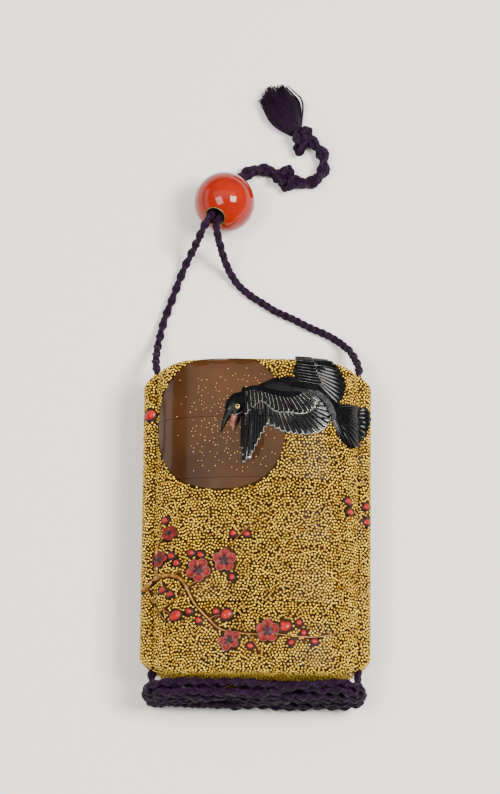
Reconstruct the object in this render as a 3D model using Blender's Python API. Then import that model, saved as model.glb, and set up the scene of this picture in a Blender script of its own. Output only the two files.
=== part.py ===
"""An inro: a lid and four stacked cases in gold-sprinkled lacquer, with its cord, bead and tassel.

Metres, +Z up. The inro lies on its back: X runs across it, Y from its bottom end to its lid, and the
decorated front faces up. The origin is on the surface that it lies on, under the middle of the cases.
"""
import math

import bmesh
import bpy
from mathutils import Matrix, Vector

MM = 0.001

# Outside form: a lens-shaped body with a rounded cord runner down each side
HALF_LENGTH = 0.0445
BODY_HALF_WIDTH = 0.0288
BODY_HALF_DEPTH = 0.013
BODY_FULLNESS = 2.3
RUNNER_INSET = 0.0002
RUNNER_CENTRE = BODY_HALF_WIDTH - RUNNER_INSET
RUNNER_HALF_WIDTH = 0.0033
RUNNER_HALF_DEPTH = 0.0036
REST_CUT = 0.0002
EDGE_ROLL = 0.0018
SHOULDER_REACH = 0.0119
SHOULDER_DROP = 0.0042
OUTSIDE_POINTS = 11
RUNNER_POINTS = 4
ROLL_STEPS = 3
FLAT_ANGLE = math.radians(0.2)
SLOPE_REACH = 0.0010

# Stack: lengths along Y
LID_LENGTH = 0.0170
TIER_LENGTH = 0.0175
TIER_COUNT = 3
SEAM_GAP = 0.0003

# Inside of the cases
SKIRT_WALL = 0.0026
SKIRT_DEPTH_WALL = 0.0016
RISER_WALL = 0.0010
RISER_HEIGHT = 0.0070
RISER_CLEARANCE = 0.0003
RISER_END_CLEARANCE = 0.0005
FLOOR = 0.0016
END_WALL = 0.0024
INSIDE_FULLNESS = 2.2
INSIDE_POINTS = 26

# Cord, its channels and the bead
CORD_DIAMETER = 0.0023
CHANNEL_DIAMETER = 0.0030
CHANNEL_SIDES = 10
CHANNEL_X = RUNNER_CENTRE - RUNNER_INSET
DRAWN_CHANNEL_X = 0.0284
BEAD_DIAMETER = 0.0173
BEAD_BORE = 0.0055
BEAD_X = -0.0100
BEAD_PAST_LID = 0.0510
BEAD_FLOOR_GAP = 0.0001
BORE_RISE = math.radians(38)
BORE_TURN = math.radians(23.5)
TAIL_DIAMETER = 0.0035
CORD_SPACING = 0.0048
CORD_START_DEPTHS = [0.009, 0.005, 0.001]
CORD_END_REACHES = [0.0085, 0.0060, 0.0035]
CORD_ASIDE = 0.0013
TAIL_START_REACHES = [-0.0030, -0.0060, -0.0082]
TAIL_SPACING = 0.0034
DROP_DEPTHS = [0.011, 0.006, 0.0025, -0.0001]

# Relief on the front
SINK = 0.0005
BRANCH_RISE = 0.00032
PETAL_RISE = 0.00040
BUD_RISE = 0.00050
FEATHER_RISE = 0.00042
GROOVE_DEPTH = 0.00015
GROOVE_REACH = 0.92
COVERT_RISE = 0.00060
BIRD_RISE = 0.00090

# Knots and tassel: their places are past the lid's end
TAIL_KNOT_PLACE = (0.0070, 0.0606, 0.0026)
TAIL_KNOT_SIZE = (0.0058, 0.0068, 0.0048)
TAIL_KNOT_TURN = 0.4
TASSEL_KNOT_PLACE = (0.0120, 0.0730, 0.0025)
TASSEL_KNOT_SIZE = (0.0056, 0.0050, 0.0048)
TASSEL_KNOT_TURN = -0.5
KNOT_LUMP = 0.10
TASSEL_START = (0.0099, 0.0755)
TASSEL_END = (0.0023, 0.0884)
TASSEL_WIDTHS = [0.0036, 0.0060, 0.0086, 0.0096, 0.0080]
TASSEL_HEIGHTS = [0.0036, 0.0044, 0.0048, 0.0040, 0.0024]
TASSEL_PLACES = [0, 0.2, 0.5, 0.8, 1]
TASSEL_SIDES = 12
TASSEL_FLOOR_GAP = 0.00015

# Bundle of cord under the bottom end
BUNDLE_REACH = 0.0032
BUNDLE_LENGTH = 2 * (RUNNER_CENTRE + BUNDLE_REACH)
BUNDLE_HEIGHT = 0.0170
BUNDLE_DEPTH = 0.0066
BUNDLE_GAP = 0.0005
BUNDLE_FLOOR_GAP = 0.0002
BUNDLE_END_STEPS = 4

# Rows of a feather sheet, as shares of a feather's length; closer ones where it crosses a runner
FEATHER_ROWS = [0, 0.35, 0.7, 1]
TAIL_ROWS = [0, 0.35, 0.6, 0.75, 0.87, 1]

# The picture is drawn for a front 31.9 wide and 44.5 long each way, its middle a little low on it
PICTURE_HALF_WIDTH = 31.9
PICTURE_HALF_LENGTH = 44.5
PICTURE_DROP = 0.5
ACROSS = (RUNNER_CENTRE + RUNNER_HALF_WIDTH) / PICTURE_HALF_WIDTH
ALONG = HALF_LENGTH / PICTURE_HALF_LENGTH

MID = BODY_HALF_DEPTH - REST_CUT
CASE_NAMES = ["upper_case", "second_case", "third_case", "bottom_case"]


def material(name, colour, roughness, metallic=0.0):
    """A plain Principled material in the part's own colour."""
    made = bpy.data.materials.new(name)
    made.use_nodes = True
    shader = made.node_tree.nodes["Principled BSDF"]
    shader.inputs["Base Color"].default_value = (*colour, 1)
    shader.inputs["Roughness"].default_value = roughness
    shader.inputs["Metallic"].default_value = metallic
    return made


def mesh_object(name, points, faces):
    """A mesh object at the origin, in triangles, its faces turned outwards."""
    mesh = bpy.data.meshes.new(name)
    mesh.from_pydata([tuple(point) for point in points], [], faces)
    shape = bmesh.new()
    shape.from_mesh(mesh)
    bmesh.ops.triangulate(shape, faces=shape.faces)
    bmesh.ops.recalc_face_normals(shape, faces=shape.faces)
    shape.to_mesh(mesh)
    shape.free()
    made = bpy.data.objects.new(name, mesh)
    bpy.context.collection.objects.link(made)
    return made


def loft(name, rings, caps=True):
    """A closed solid through rings of equally many points, with a flat face on each end."""
    count = len(rings[0])
    points = [point for ring in rings for point in ring]
    faces = []
    for ring in range(len(rings) - 1):
        for step in range(count):
            after = (step + 1) % count
            low, high = ring * count, (ring + 1) * count
            faces.append((low + step, low + after, high + after, high + step))
    if caps:
        faces.append(tuple(range(count)))
        faces.append(tuple(range(len(points) - count, len(points))))
    return mesh_object(name, points, faces)


def combine(target, tools, operation):
    """Joins or cuts a solid with one or more others in one step, and deletes them.

    The relief is fine beside the solver's tolerance, so all are enlarged for the cut and put back."""
    enlarge = Matrix.Scale(1 / MM, 4)
    group = bpy.data.collections.new("tools")
    for tool in tools:
        tool.data.transform(enlarge @ tool.matrix_world)
        tool.matrix_world = Matrix.Identity(4)
        group.objects.link(tool)
    target.data.transform(enlarge)
    change = target.modifiers.new(operation.title(), "BOOLEAN")
    change.operation = operation
    change.solver = "EXACT"
    change.operand_type = "COLLECTION"
    change.collection = group
    graph = bpy.context.evaluated_depsgraph_get()
    result = bpy.data.meshes.new_from_object(target.evaluated_get(graph))
    target.modifiers.remove(change)
    target.data = result
    target.data.transform(Matrix.Scale(MM, 4))
    for tool in tools:
        bpy.data.objects.remove(tool)
    bpy.data.collections.remove(group)
    return target


def superellipse_height(across, half_width, half_depth, fullness):
    """Height of a superellipse over its middle line, at a distance across."""
    share = min(abs(across) / half_width, 1)
    return half_depth * (1 - share ** fullness) ** (1 / fullness)


def body_height(x):
    return superellipse_height(x, BODY_HALF_WIDTH, BODY_HALF_DEPTH, BODY_FULLNESS)


def runner_height(x):
    return superellipse_height(abs(x) - RUNNER_CENTRE, RUNNER_HALF_WIDTH, RUNNER_HALF_DEPTH, 2)


def crease():
    """Where the body's slope meets the cord runner."""
    low, high = RUNNER_CENTRE - RUNNER_HALF_WIDTH, BODY_HALF_WIDTH
    for _ in range(40):
        middle = (low + high) / 2
        if body_height(middle) > runner_height(middle):
            low = middle
        else:
            high = middle
    return (low + high) / 2


CREASE = crease()


def quarter_outline():
    """Outline points (x, height) from the front's middle to the runner's outer edge."""
    full = math.acos((CREASE / BODY_HALF_WIDTH) ** (BODY_FULLNESS / 2))
    points = []
    for step in range(OUTSIDE_POINTS):
        angle = math.pi / 2 + (full - math.pi / 2) * (step + 0.5) / (OUTSIDE_POINTS + 0.5)
        x = BODY_HALF_WIDTH * math.cos(angle) ** (2 / BODY_FULLNESS)
        points.append((x, body_height(x)))
    points.append((CREASE, body_height(CREASE)))
    start = math.acos((CREASE - RUNNER_CENTRE) / RUNNER_HALF_WIDTH)
    for step in range(1, RUNNER_POINTS + 1):
        angle = start * (1 - step / RUNNER_POINTS)
        x = RUNNER_CENTRE + RUNNER_HALF_WIDTH * math.cos(angle)
        points.append((x, RUNNER_HALF_DEPTH * math.sin(angle)))
    return points


def outline():
    """The whole section as (x, height) points, once round."""
    quarter = quarter_outline()
    upper = [(-x, z) for x, z in reversed(quarter)] + quarter
    lower = [(x, -z) for x, z in reversed(upper[1:-1])]
    return upper + lower


def inset_outline(points, inset):
    """The outline moved inwards by the same distance all round."""
    moved = []
    for index, (x, z) in enumerate(points):
        before = Vector(points[index - 1])
        here = Vector((x, z))
        after = Vector(points[(index + 1) % len(points)])
        first = (here - before).normalized()
        second = (after - here).normalized()
        along = (first + second).normalized()
        inwards = Vector((along.y, -along.x))
        moved.append(here + inwards * inset / max(along.dot(first), 0.5))
    return moved


def shoulder(x):
    """How far the end has dropped at x, where it rounds off towards the runners."""
    start = RUNNER_CENTRE + RUNNER_HALF_WIDTH - SHOULDER_REACH
    share = max(0, abs(x) - start) / SHOULDER_REACH
    return SHOULDER_DROP * share ** 2


def outside_ring(end, angle):
    """One ring of the rolled edge at an end (1 the lid's, -1 the bottom's)."""
    base = outline()
    inset = EDGE_ROLL * (1 - math.cos(angle))
    drop = EDGE_ROLL * (1 - math.sin(angle))
    lowest = -(BODY_HALF_DEPTH - REST_CUT) + inset
    ring = []
    for (x, _), moved in zip(base, inset_outline(base, inset)):
        y = end * (HALF_LENGTH - drop - shoulder(x))
        ring.append((moved.x, y, MID + max(moved.y, lowest)))
    return ring


def outside_form():
    """The closed outside of the whole inro, before the seams are cut."""
    angles = [math.pi / 2 * step / ROLL_STEPS for step in range(ROLL_STEPS + 1)]
    rings = [outside_ring(-1, angle) for angle in reversed(angles)]
    rings += [outside_ring(1, angle) for angle in angles]
    count = len(rings[0])
    form = loft("outside", rings, caps=False)
    shape = bmesh.new()
    shape.from_mesh(form.data)
    shape.verts.ensure_lookup_table()
    half = count // 2
    for first in (0, len(rings) * count - count):
        for step in range(half):
            corners = {step, step + 1, (count - step) % count, count - step - 1}
            shape.faces.new([shape.verts[first + corner] for corner in
                             sorted(corners, key=lambda c: (c > half, c if c <= half else c))])
    bmesh.ops.recalc_face_normals(shape, faces=shape.faces)
    shape.to_mesh(form.data)
    shape.free()
    return form


def front_height(x):
    return max(body_height(x), runner_height(x))


def on_front(x, run, lift):
    """A point over the front at x, a run along Y on the surface, lifted off it.

    Past the rolled edge the run goes on over the edge and down the end."""
    slope = (front_height(x + SLOPE_REACH) - front_height(x - SLOPE_REACH)) / (2 * SLOPE_REACH)
    normal = Vector((-slope, 0, 1)).normalized()
    side = math.copysign(1, run)
    edge = HALF_LENGTH - EDGE_ROLL - shoulder(x)
    over = abs(run) - edge
    foot = Vector((x, run, MID + front_height(x)))
    if over <= 0:
        return foot + normal * lift
    angle = min(over / EDGE_ROLL, math.pi / 2)
    beyond = max(0, over - EDGE_ROLL * math.pi / 2)
    centre = Vector((x, side * edge, MID + front_height(x))) - normal * EDGE_ROLL
    turned = normal * math.cos(angle) + Vector((0, side * math.sin(angle), 0))
    return centre + turned * (EDGE_ROLL + lift) - normal * beyond


def on_picture(point, lift):
    """A point of the picture on the front, lifted off it."""
    return on_front(point[0] * ACROSS, (point[1] - PICTURE_DROP) * ALONG, lift)


def quilt(rows, lifts):
    """A closed raised sheet over the front: rows of the picture's points, each lifted its own way."""
    count = len(rows[0])
    tops, feet = [], []
    for row, row_lifts in zip(rows, lifts):
        for point, lift in zip(row, row_lifts):
            tops.append(on_picture(point, lift))
            feet.append(on_picture(point, -SINK))
    faces = []
    total = len(tops)
    for row in range(len(rows) - 1):
        for column in range(count - 1):
            first = row * count + column
            corners = (first, first + 1, first + 1 + count, first + count)
            faces.append(corners)
            faces.append(tuple(total + corner for corner in reversed(corners)))
    rim = list(range(count))
    rim += [row * count + count - 1 for row in range(1, len(rows))]
    rim += [len(rows) * count - 1 - column for column in range(1, count)]
    rim += [row * count for row in range(len(rows) - 2, 0, -1)]
    for here, after in zip(rim, rim[1:] + rim[:1]):
        faces.append((here, after, total + after, total + here))
    return mesh_object("quilt", tops + feet, faces)


def strip(route, widths, edge_rise, ridge_rise):
    """A raised strip along a route in the picture, as wide as widths say, with a ridge down it."""
    rows = []
    for index, (here, width) in enumerate(zip(route, widths)):
        before = Vector(route[max(index - 1, 0)])
        after = Vector(route[min(index + 1, len(route) - 1)])
        along = (after - before).normalized()
        across = Vector((-along.y, along.x)) * width / 2
        here = Vector(here)
        rows.append([here + across, here, here - across])
    return quilt(rows, [[edge_rise, ridge_rise, edge_rise]] * len(rows))


def feathers(roots, tips, rise, shares=FEATHER_ROWS):
    """A fan of feathers in one sheet: a ridge down each, a groove between, and scalloped tips."""
    lines = []
    for index, (root, tip) in enumerate(zip(roots, tips)):
        if index:
            last_root, last_tip = lines[-1][:2]
            lines.append(((last_root + root) / 2, (last_tip + tip) / 2, GROOVE_REACH, rise - GROOVE_DEPTH))
        lines.append((root, tip, 1, rise + GROOVE_DEPTH / 2))
    first = lines[0][0] * 1.5 - lines[1][0] * 0.5, lines[0][1] * 1.35 - lines[1][1] * 0.35
    last = lines[-1][0] * 1.5 - lines[-2][0] * 0.5, lines[-1][1] * 1.35 - lines[-2][1] * 0.35
    lines.insert(0, (*first, GROOVE_REACH, rise - GROOVE_DEPTH))
    lines.append((*last, GROOVE_REACH, rise - GROOVE_DEPTH))
    rows, lifts = [], []
    for share in shares:
        rows.append([root.lerp(tip, share * reach) for root, tip, reach, _ in lines])
        lifts.append([lift for _, _, _, lift in lines])
    return quilt(rows, lifts)


def between(first, last, count):
    """Evenly spaced points from first to last."""
    first, last = Vector(first), Vector(last)
    return [first.lerp(last, step / (count - 1)) for step in range(count)]


def arc_points(centre, radii, start, end, count):
    """Points on an ellipse's arc, angles in degrees."""
    made = []
    for step in range(count):
        angle = math.radians(start + (end - start) * step / (count - 1))
        made.append(Vector(centre) + Vector((radii[0] * math.cos(angle), radii[1] * math.sin(angle))))
    return made


def disc(centre, radius, lobes, rise, dish=0.0, stretch=1.0, turn=0.0):
    """A low round or lobed boss in the picture: a bud with no lobes, or an open blossom."""
    count = 3 * lobes if lobes else 6
    rings = []
    levels = ((1, -SINK), (1, rise * 0.7), (0.4, rise - dish)) if lobes else ((1, -SINK), (0.55, rise))
    for share, lift in levels:
        ring = []
        for step in range(count):
            angle = 2 * math.pi * step / count
            lobe = 0.80 + 0.20 * abs(math.cos(lobes * angle / 2)) if lobes else 1
            reach = radius * share * (lobe if share == 1 else 1)
            local = Vector((reach * stretch * math.cos(angle), reach * math.sin(angle)))
            local.rotate(Matrix.Rotation(turn, 2))
            ring.append(on_picture(Vector(centre) + local, lift))
        rings.append(ring)
    return loft("boss", rings)


# The plum tree, as points in the picture
BRANCH = [(-31.3, -19.8), (-29.6, -18.2), (-27.4, -16.9), (-24.5, -16.5), (-21.0, -17.7), (-19.0, -20.5),
          (-17.4, -24.0), (-15.3, -26.9), (-12.7, -29.7), (-10.4, -32.0), (-8.0, -33.0), (-3.9, -33.7),
          (0.0, -33.9)]
BRANCH_WIDTHS = [1.7, 1.7, 1.6, 1.5, 1.4, 1.3, 1.2, 1.1, 1.0, 0.9, 0.8, 0.8, 0.7]
TWIGS = [[(-29.9, -19.6), (-28.4, -23.4), (-26.6, -26.6), (-24.6, -29.6)],
         [(-19.1, -20.8), (-21.4, -23.2), (-24.3, -25.0), (-27.0, -27.2)],
         [(-19.0, -20.5), (-17.4, -19.4), (-15.8, -18.6)],
         [(-12.7, -29.7), (-11.4, -28.9), (-9.8, -28.6)],
         [(5.8, -33.8), (11.0, -34.3), (17.0, -34.1), (22.0, -32.8)],
         [(-2.2, -33.9), (-0.4, -36.0), (1.2, -38.6)],
         [(-0.9, -2.1), (-4.0, -5.4), (-7.4, -9.2)],
         [(28.0, 3.0), (29.4, 3.2), (30.9, 2.7)]]
TWIG_WIDTH = 0.55
BLOSSOMS = [(-8.7, -13.1), (-15.8, -15.7), (-7.1, -35.6), (3.3, -32.9)]
BLOSSOM_RADIUS = 3.2
SMALL_BLOSSOMS = [(-26.8, -11.6), (-23.9, -4.6)]
SMALL_BLOSSOM_RADIUS = 2.1
BUDS = [(-17.9, -10.8), (-15.4, -11.4), (-6.6, -17.9), (-25.7, -20.4), (-23.6, -21.9), (-18.3, -27.2),
        (-15.6, -29.9), (-10.9, -27.5), (-8.2, -27.8), (-1.4, -37.2), (-21.9, -13.3), (-25.3, -0.8),
        (-6.4, -5.5), (-2.7, -5.7), (7.6, -31.0), (11.9, -30.4), (9.8, -36.0), (16.2, -35.4),
        (25.3, 5.2), (25.9, 2.2), (30.7, 4.8), (30.8, 0.4)]
BUD_RADIUS = 1.15
LARGE_BUDS = [(-22.0, -28.1), (-30.0, 30.5)]
LARGE_BUD_RADIUS = 1.7


def plum_tree():
    """The branch, its twigs, blossoms and buds, low on the lacquer."""
    made = [strip(BRANCH, BRANCH_WIDTHS, BRANCH_RISE * 0.5, BRANCH_RISE)]
    for twig in TWIGS:
        made.append(strip(twig, [TWIG_WIDTH] * len(twig), BRANCH_RISE * 0.4, BRANCH_RISE * 0.8))
    for index, centre in enumerate(BLOSSOMS):
        made.append(disc(centre, BLOSSOM_RADIUS, 5, PETAL_RISE, PETAL_RISE * 0.4, turn=0.4 * index))
    for centre in SMALL_BLOSSOMS:
        made.append(disc(centre, SMALL_BLOSSOM_RADIUS, 5, PETAL_RISE, PETAL_RISE * 0.3))
    for centre in BUDS:
        made.append(disc(centre, BUD_RADIUS, 0, BUD_RISE))
    for centre in LARGE_BUDS:
        made.append(disc(centre, LARGE_BUD_RADIUS, 0, BUD_RISE, stretch=1.3, turn=0.6))
    return made


def bird():
    """A dark bird diving to the left, one wing spread down and the other up over the lid's edge."""
    made = [
        feathers(between((12.6, 44.8), (15.8, 37.6), 6), arc_points((14.0, 36.5), (9.6, 9.6), 62, -8, 6),
                 FEATHER_RISE),
        feathers(between((21.6, 32.6), (20.6, 29.4), 6), arc_points((19.5, 31.5), (11.4, 11.2), 8, -64, 6),
                 FEATHER_RISE, TAIL_ROWS),
        feathers(between((-3.4, 33.0), (1.4, 31.0), 6), arc_points((-1.2, 25.0), (3.6, 9.6), 205, 320, 6),
                 FEATHER_RISE),
        feathers(between((3.0, 32.0), (15.4, 33.0), 7), arc_points((9.5, 31.0), (9.0, 7.4), 218, 352, 7),
                 FEATHER_RISE)]
    made.append(strip([(12.5, 44.6), (12.2, 41.5), (13.4, 38.4), (16.0, 35.6)], [3.6, 5.0, 5.0, 3.0],
                      COVERT_RISE * 0.7, COVERT_RISE))
    made.append(strip([(-4.4, 30.6), (-2.6, 33.4), (0.8, 33.5), (4.6, 32.6), (8.8, 32.2), (13.0, 32.6),
                       (15.6, 33.2)], [2.4, 6.4, 5.4, 5.8, 6.2, 5.2, 3.0], COVERT_RISE * 0.8, COVERT_RISE))
    made.append(strip([(-6.0, 32.4), (-1.0, 34.6), (4.6, 36.6), (10.4, 36.6), (15.6, 34.6), (19.6, 32.2),
                       (22.6, 30.8)], [2.6, 3.0, 4.6, 6.2, 6.4, 4.8, 3.0], BIRD_RISE * 0.6, BIRD_RISE))
    made.append(strip([(-3.6, 33.8), (-5.4, 32.8), (-7.0, 31.2), (-8.0, 29.4)], [2.6, 4.0, 4.0, 2.6],
                      BIRD_RISE * 0.6, BIRD_RISE))
    made.append(strip([(-7.6, 30.2), (-9.0, 27.0), (-10.1, 23.4)], [2.4, 1.3, 0.3],
                      BIRD_RISE * 0.3, BIRD_RISE * 0.7))
    made.append(strip([(-6.8, 29.6), (-6.9, 26.8), (-6.8, 23.8)], [2.0, 1.1, 0.3],
                      BIRD_RISE * 0.3, BIRD_RISE * 0.6))
    return made


def plug(name, start, end, half_width, half_depth):
    """A solid superellipse across the inside, from one place along Y to another."""
    ring = []
    for step in range(INSIDE_POINTS):
        angle = 2 * math.pi * (step + 0.5) / INSIDE_POINTS
        power = 2 / INSIDE_FULLNESS
        x = math.copysign(abs(math.cos(angle)) ** power, math.cos(angle)) * half_width
        z = math.copysign(abs(math.sin(angle)) ** power, math.sin(angle)) * half_depth
        ring.append((x, MID + z))
    return loft(name, [[(x, start, z) for x, z in ring], [(x, end, z) for x, z in ring]])


def slab(start, end):
    """A block that reaches past the case on every side, between two places along Y."""
    wide = 2 * (RUNNER_CENTRE + RUNNER_HALF_WIDTH)
    corners = [(-wide, -wide), (wide, -wide), (wide, wide), (-wide, wide)]
    return loft("slab", [[(x, start, z) for x, z in corners], [(x, end, z) for x, z in corners]])


RECESS_HALF_WIDTH = BODY_HALF_WIDTH - SKIRT_WALL
RECESS_HALF_DEPTH = BODY_HALF_DEPTH - SKIRT_DEPTH_WALL
RISER_HALF_WIDTH = RECESS_HALF_WIDTH - RISER_CLEARANCE
RISER_HALF_DEPTH = RECESS_HALF_DEPTH - RISER_CLEARANCE
HOLLOW_HALF_WIDTH = RISER_HALF_WIDTH - RISER_WALL
HOLLOW_HALF_DEPTH = RISER_HALF_DEPTH - RISER_WALL
RECESS_LENGTH = RISER_HEIGHT + RISER_END_CLEARANCE


def channel(side):
    """The cord's way down one runner, from end to end."""
    centre = (side * CHANNEL_X, 0, MID)
    bpy.ops.mesh.primitive_cylinder_add(vertices=CHANNEL_SIDES, radius=CHANNEL_DIAMETER / 2,
                                        depth=4 * HALF_LENGTH, location=centre,
                                        rotation=(math.pi / 2, 0, 0))
    return bpy.context.object


def copy_of(source):
    """A second object with its own copy of a solid."""
    made = bpy.data.objects.new(source.name, source.data.copy())
    bpy.context.collection.objects.link(made)
    return made


def between_seams(source, start, end):
    """The part of a solid between two seams, or nothing where it doesn't reach there."""
    reach = [vertex.co.y for vertex in source.data.vertices]
    if max(reach) <= start or min(reach) >= end:
        return None
    made = copy_of(source)
    if min(reach) < start or max(reach) > end:
        combine(made, [slab(start, end)], "INTERSECT")
    return made


def finish(made, name, surface):
    """Names an object, gives it its material and shades it smooth between its sharp edges."""
    made.name = name
    made.data.name = name
    made.data.materials.clear()
    made.data.materials.append(surface)
    made.data.shade_smooth()
    made.data.set_sharp_from_angle(angle=math.radians(35))
    return made


def merge_flats(made):
    """Joins the triangles that lie in one plane back into one face."""
    shape = bmesh.new()
    shape.from_mesh(made.data)
    bmesh.ops.dissolve_limit(shape, angle_limit=FLAT_ANGLE, verts=shape.verts, edges=shape.edges)
    bmesh.ops.triangulate(shape, faces=shape.faces)
    shape.to_mesh(made.data)
    shape.free()
    return made


def case_between(form, raised, start, end, risers, cuts):
    """One piece of the stack: its walls and riser, its inside cut out, its share of the relief on it."""
    case = between_seams(form, start, end)
    if risers:
        combine(case, risers, "UNION")
    combine(case, cuts + [channel(-1), channel(1)], "DIFFERENCE")
    shares = [between_seams(item, start, end) for item in raised]
    combine(case, [share for share in shares if share], "UNION")
    return merge_flats(case)


def cases(lacquer):
    """The lid and the four cases, which share one outside form."""
    form = outside_form()
    raised = plum_tree() + bird()
    seam = HALF_LENGTH - LID_LENGTH
    inside = plug("inside", seam - FLOOR, HALF_LENGTH - END_WALL, RECESS_HALF_WIDTH, RECESS_HALF_DEPTH)
    lid = case_between(form, raised, seam + SEAM_GAP / 2, 2 * HALF_LENGTH, [], [inside])
    made = [finish(lid, "lid", lacquer)]
    for index, name in enumerate(CASE_NAMES):
        low = seam - TIER_LENGTH + SEAM_GAP / 2
        recess_end = seam - TIER_LENGTH + RECESS_LENGTH
        floor = recess_end + FLOOR
        cuts = []
        if index == TIER_COUNT:
            low = -2 * HALF_LENGTH
            floor = -HALF_LENGTH + END_WALL
        else:
            cuts.append(plug("recess", low - FLOOR, recess_end, RECESS_HALF_WIDTH, RECESS_HALF_DEPTH))
        cuts.append(plug("hollow", floor, seam + 2 * RISER_HEIGHT, HOLLOW_HALF_WIDTH, HOLLOW_HALF_DEPTH))
        riser = plug("riser", seam - FLOOR, seam + RISER_HEIGHT, RISER_HALF_WIDTH, RISER_HALF_DEPTH)
        case = case_between(form, raised, low, seam - SEAM_GAP / 2, [riser], cuts)
        made.append(finish(case, name, lacquer))
        seam -= TIER_LENGTH
    for guide in [form] + raised:
        bpy.data.objects.remove(guide)
    return made


BEAD_CENTRE = Vector((BEAD_X, HALF_LENGTH + BEAD_PAST_LID, BEAD_DIAMETER / 2 + BEAD_FLOOR_GAP))
BORE = Vector((-math.sin(BORE_TURN) * math.cos(BORE_RISE), -math.cos(BORE_TURN) * math.cos(BORE_RISE),
               math.sin(BORE_RISE)))


def bead(coral):
    """The round bead, with a slanting bore wide enough for two cords."""
    bpy.ops.mesh.primitive_uv_sphere_add(segments=20, ring_count=12, radius=BEAD_DIAMETER / 2,
                                         location=BEAD_CENTRE)
    ball = bpy.context.object
    ball.data.transform(Matrix.Translation(BEAD_CENTRE))
    ball.location = (0, 0, 0)
    turn = BORE.to_track_quat("Z", "Y").to_euler()
    bpy.ops.mesh.primitive_cylinder_add(vertices=16, radius=BEAD_BORE / 2, depth=2 * BEAD_DIAMETER,
                                        location=BEAD_CENTRE, rotation=turn)
    bore = bpy.context.object
    combine(ball, [bore], "DIFFERENCE")
    return finish(ball, "bead", coral)


def smooth_route(route, step):
    """Evenly spaced points on a smooth curve through the chosen points."""
    fine = []
    for index in range(len(route) - 1):
        before = route[max(index - 1, 0)]
        first, second = route[index], route[index + 1]
        after = route[min(index + 2, len(route) - 1)]
        for part in range(20):
            t = part / 20
            fine.append(0.5 * (2 * first + (second - before) * t
                               + (2 * before - 5 * first + 4 * second - after) * t * t
                               + (3 * first - before - 3 * second + after) * t ** 3))
    fine.append(route[-1])
    lengths = [0]
    for first, second in zip(fine, fine[1:]):
        lengths.append(lengths[-1] + (second - first).length)
    count = max(2, round(lengths[-1] / step))
    points = []
    index = 0
    for number in range(count + 1):
        target = lengths[-1] * number / count
        while index < len(lengths) - 2 and lengths[index + 1] < target:
            index += 1
        share = (target - lengths[index]) / max(lengths[index + 1] - lengths[index], 1e-9)
        points.append(fine[index].lerp(fine[index + 1], min(share, 1)))
    return points


def cord(name, route, diameter, spacing, surface):
    """A round cord along a route, as a bevelled curve with closed ends."""
    points = smooth_route(route, spacing)
    curve = bpy.data.curves.new(name, "CURVE")
    curve.dimensions = "3D"
    spline = curve.splines.new("POLY")
    spline.points.add(len(points) - 1)
    for target, point in zip(spline.points, points):
        target.co = (*point, 1)
    curve.bevel_depth = diameter / 2
    curve.bevel_resolution = 2
    curve.use_fill_caps = True
    curve.materials.append(surface)
    made = bpy.data.objects.new(name, curve)
    bpy.context.collection.objects.link(made)
    return made


# The free parts of the cords' routes, in millimetres past the lid's end
LEFT_FREE = [(-28.9, 1.6, 10.6), (-28.9, 5.2, 7.4), (-28.6, 9, 4.2), (-27.8, 13.6, 2.1),
             (-26.8, 18, 1.4), (-25.0, 23.2, 1.3), (-23.0, 29, 1.35), (-21.6, 32.6, 2.0),
             (-20.2, 35.2, 3.8), (-18.8, 37.2, 6.8), (-17.4, 39, 10.6), (-16.3, 40.7, 13.6),
             (-15.3, 42.4, 15.2), (-14.5, 44, 15.0)]
RIGHT_FREE = [(28.4, 1.6, 10.6), (27.4, 5.2, 7.2), (25.8, 8.6, 4.0), (23.2, 11.4, 2.0),
              (19.6, 13.8, 1.3), (15.0, 15.8, 1.3), (9.9, 18.4, 1.3), (4.9, 20.7, 1.3), (1.3, 23, 1.3),
              (-2.4, 25.4, 1.3), (-5.9, 28.5, 1.5), (-8.2, 31.6, 3.0), (-9.9, 34.5, 6.4),
              (-11.0, 37, 10.6), (-11.8, 39.2, 13.9), (-12.2, 41.2, 15.4), (-12.05, 43, 15.0)]
TAIL_FREE = [(-6.4, 59.1, 2.4), (-4.6, 61.3, 1.95), (-1.8, 62.8, 1.9), (1.2, 63.1, 1.9),
             (3.9, 62.2, 1.9)]
TAIL_END_FREE = [(10.4, 59.6, 1.9), (13.3, 59.1, 1.9), (16.2, 60.2, 1.9), (18.2, 62.9, 1.9),
                 (18.5, 66.4, 1.9), (17.3, 69.4, 1.9), (15.0, 71.7, 1.9)]


def past_lid(place):
    """A place given in metres past the lid's end."""
    return Vector(place) + Vector((0, HALF_LENGTH, 0))


def free_route(points, side=0):
    """The free part of a route, led over to the channel of a runner (-1 left, 1 right) at its start."""
    aside = side * (CHANNEL_X - DRAWN_CHANNEL_X)
    route = []
    for index, point in enumerate(points):
        shift = aside * (1 - index / (len(points) - 1))
        route.append(past_lid(Vector(point) * MM) + Vector((shift, 0, 0)))
    return route


def in_channel(side, end, depths):
    """Places in a runner's channel, at depths from the bottom end (-1) or the lid's end (1)."""
    return [Vector((side * CHANNEL_X, end * (HALF_LENGTH - depth), MID)) for depth in depths]


def in_bore(reaches, aside):
    """Places along the bead's bore, at distances from its centre, set aside across it."""
    across = Vector((0, 0, 1)).cross(BORE).normalized() * aside
    return [BEAD_CENTRE + across + BORE * reach for reach in reaches]


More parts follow.
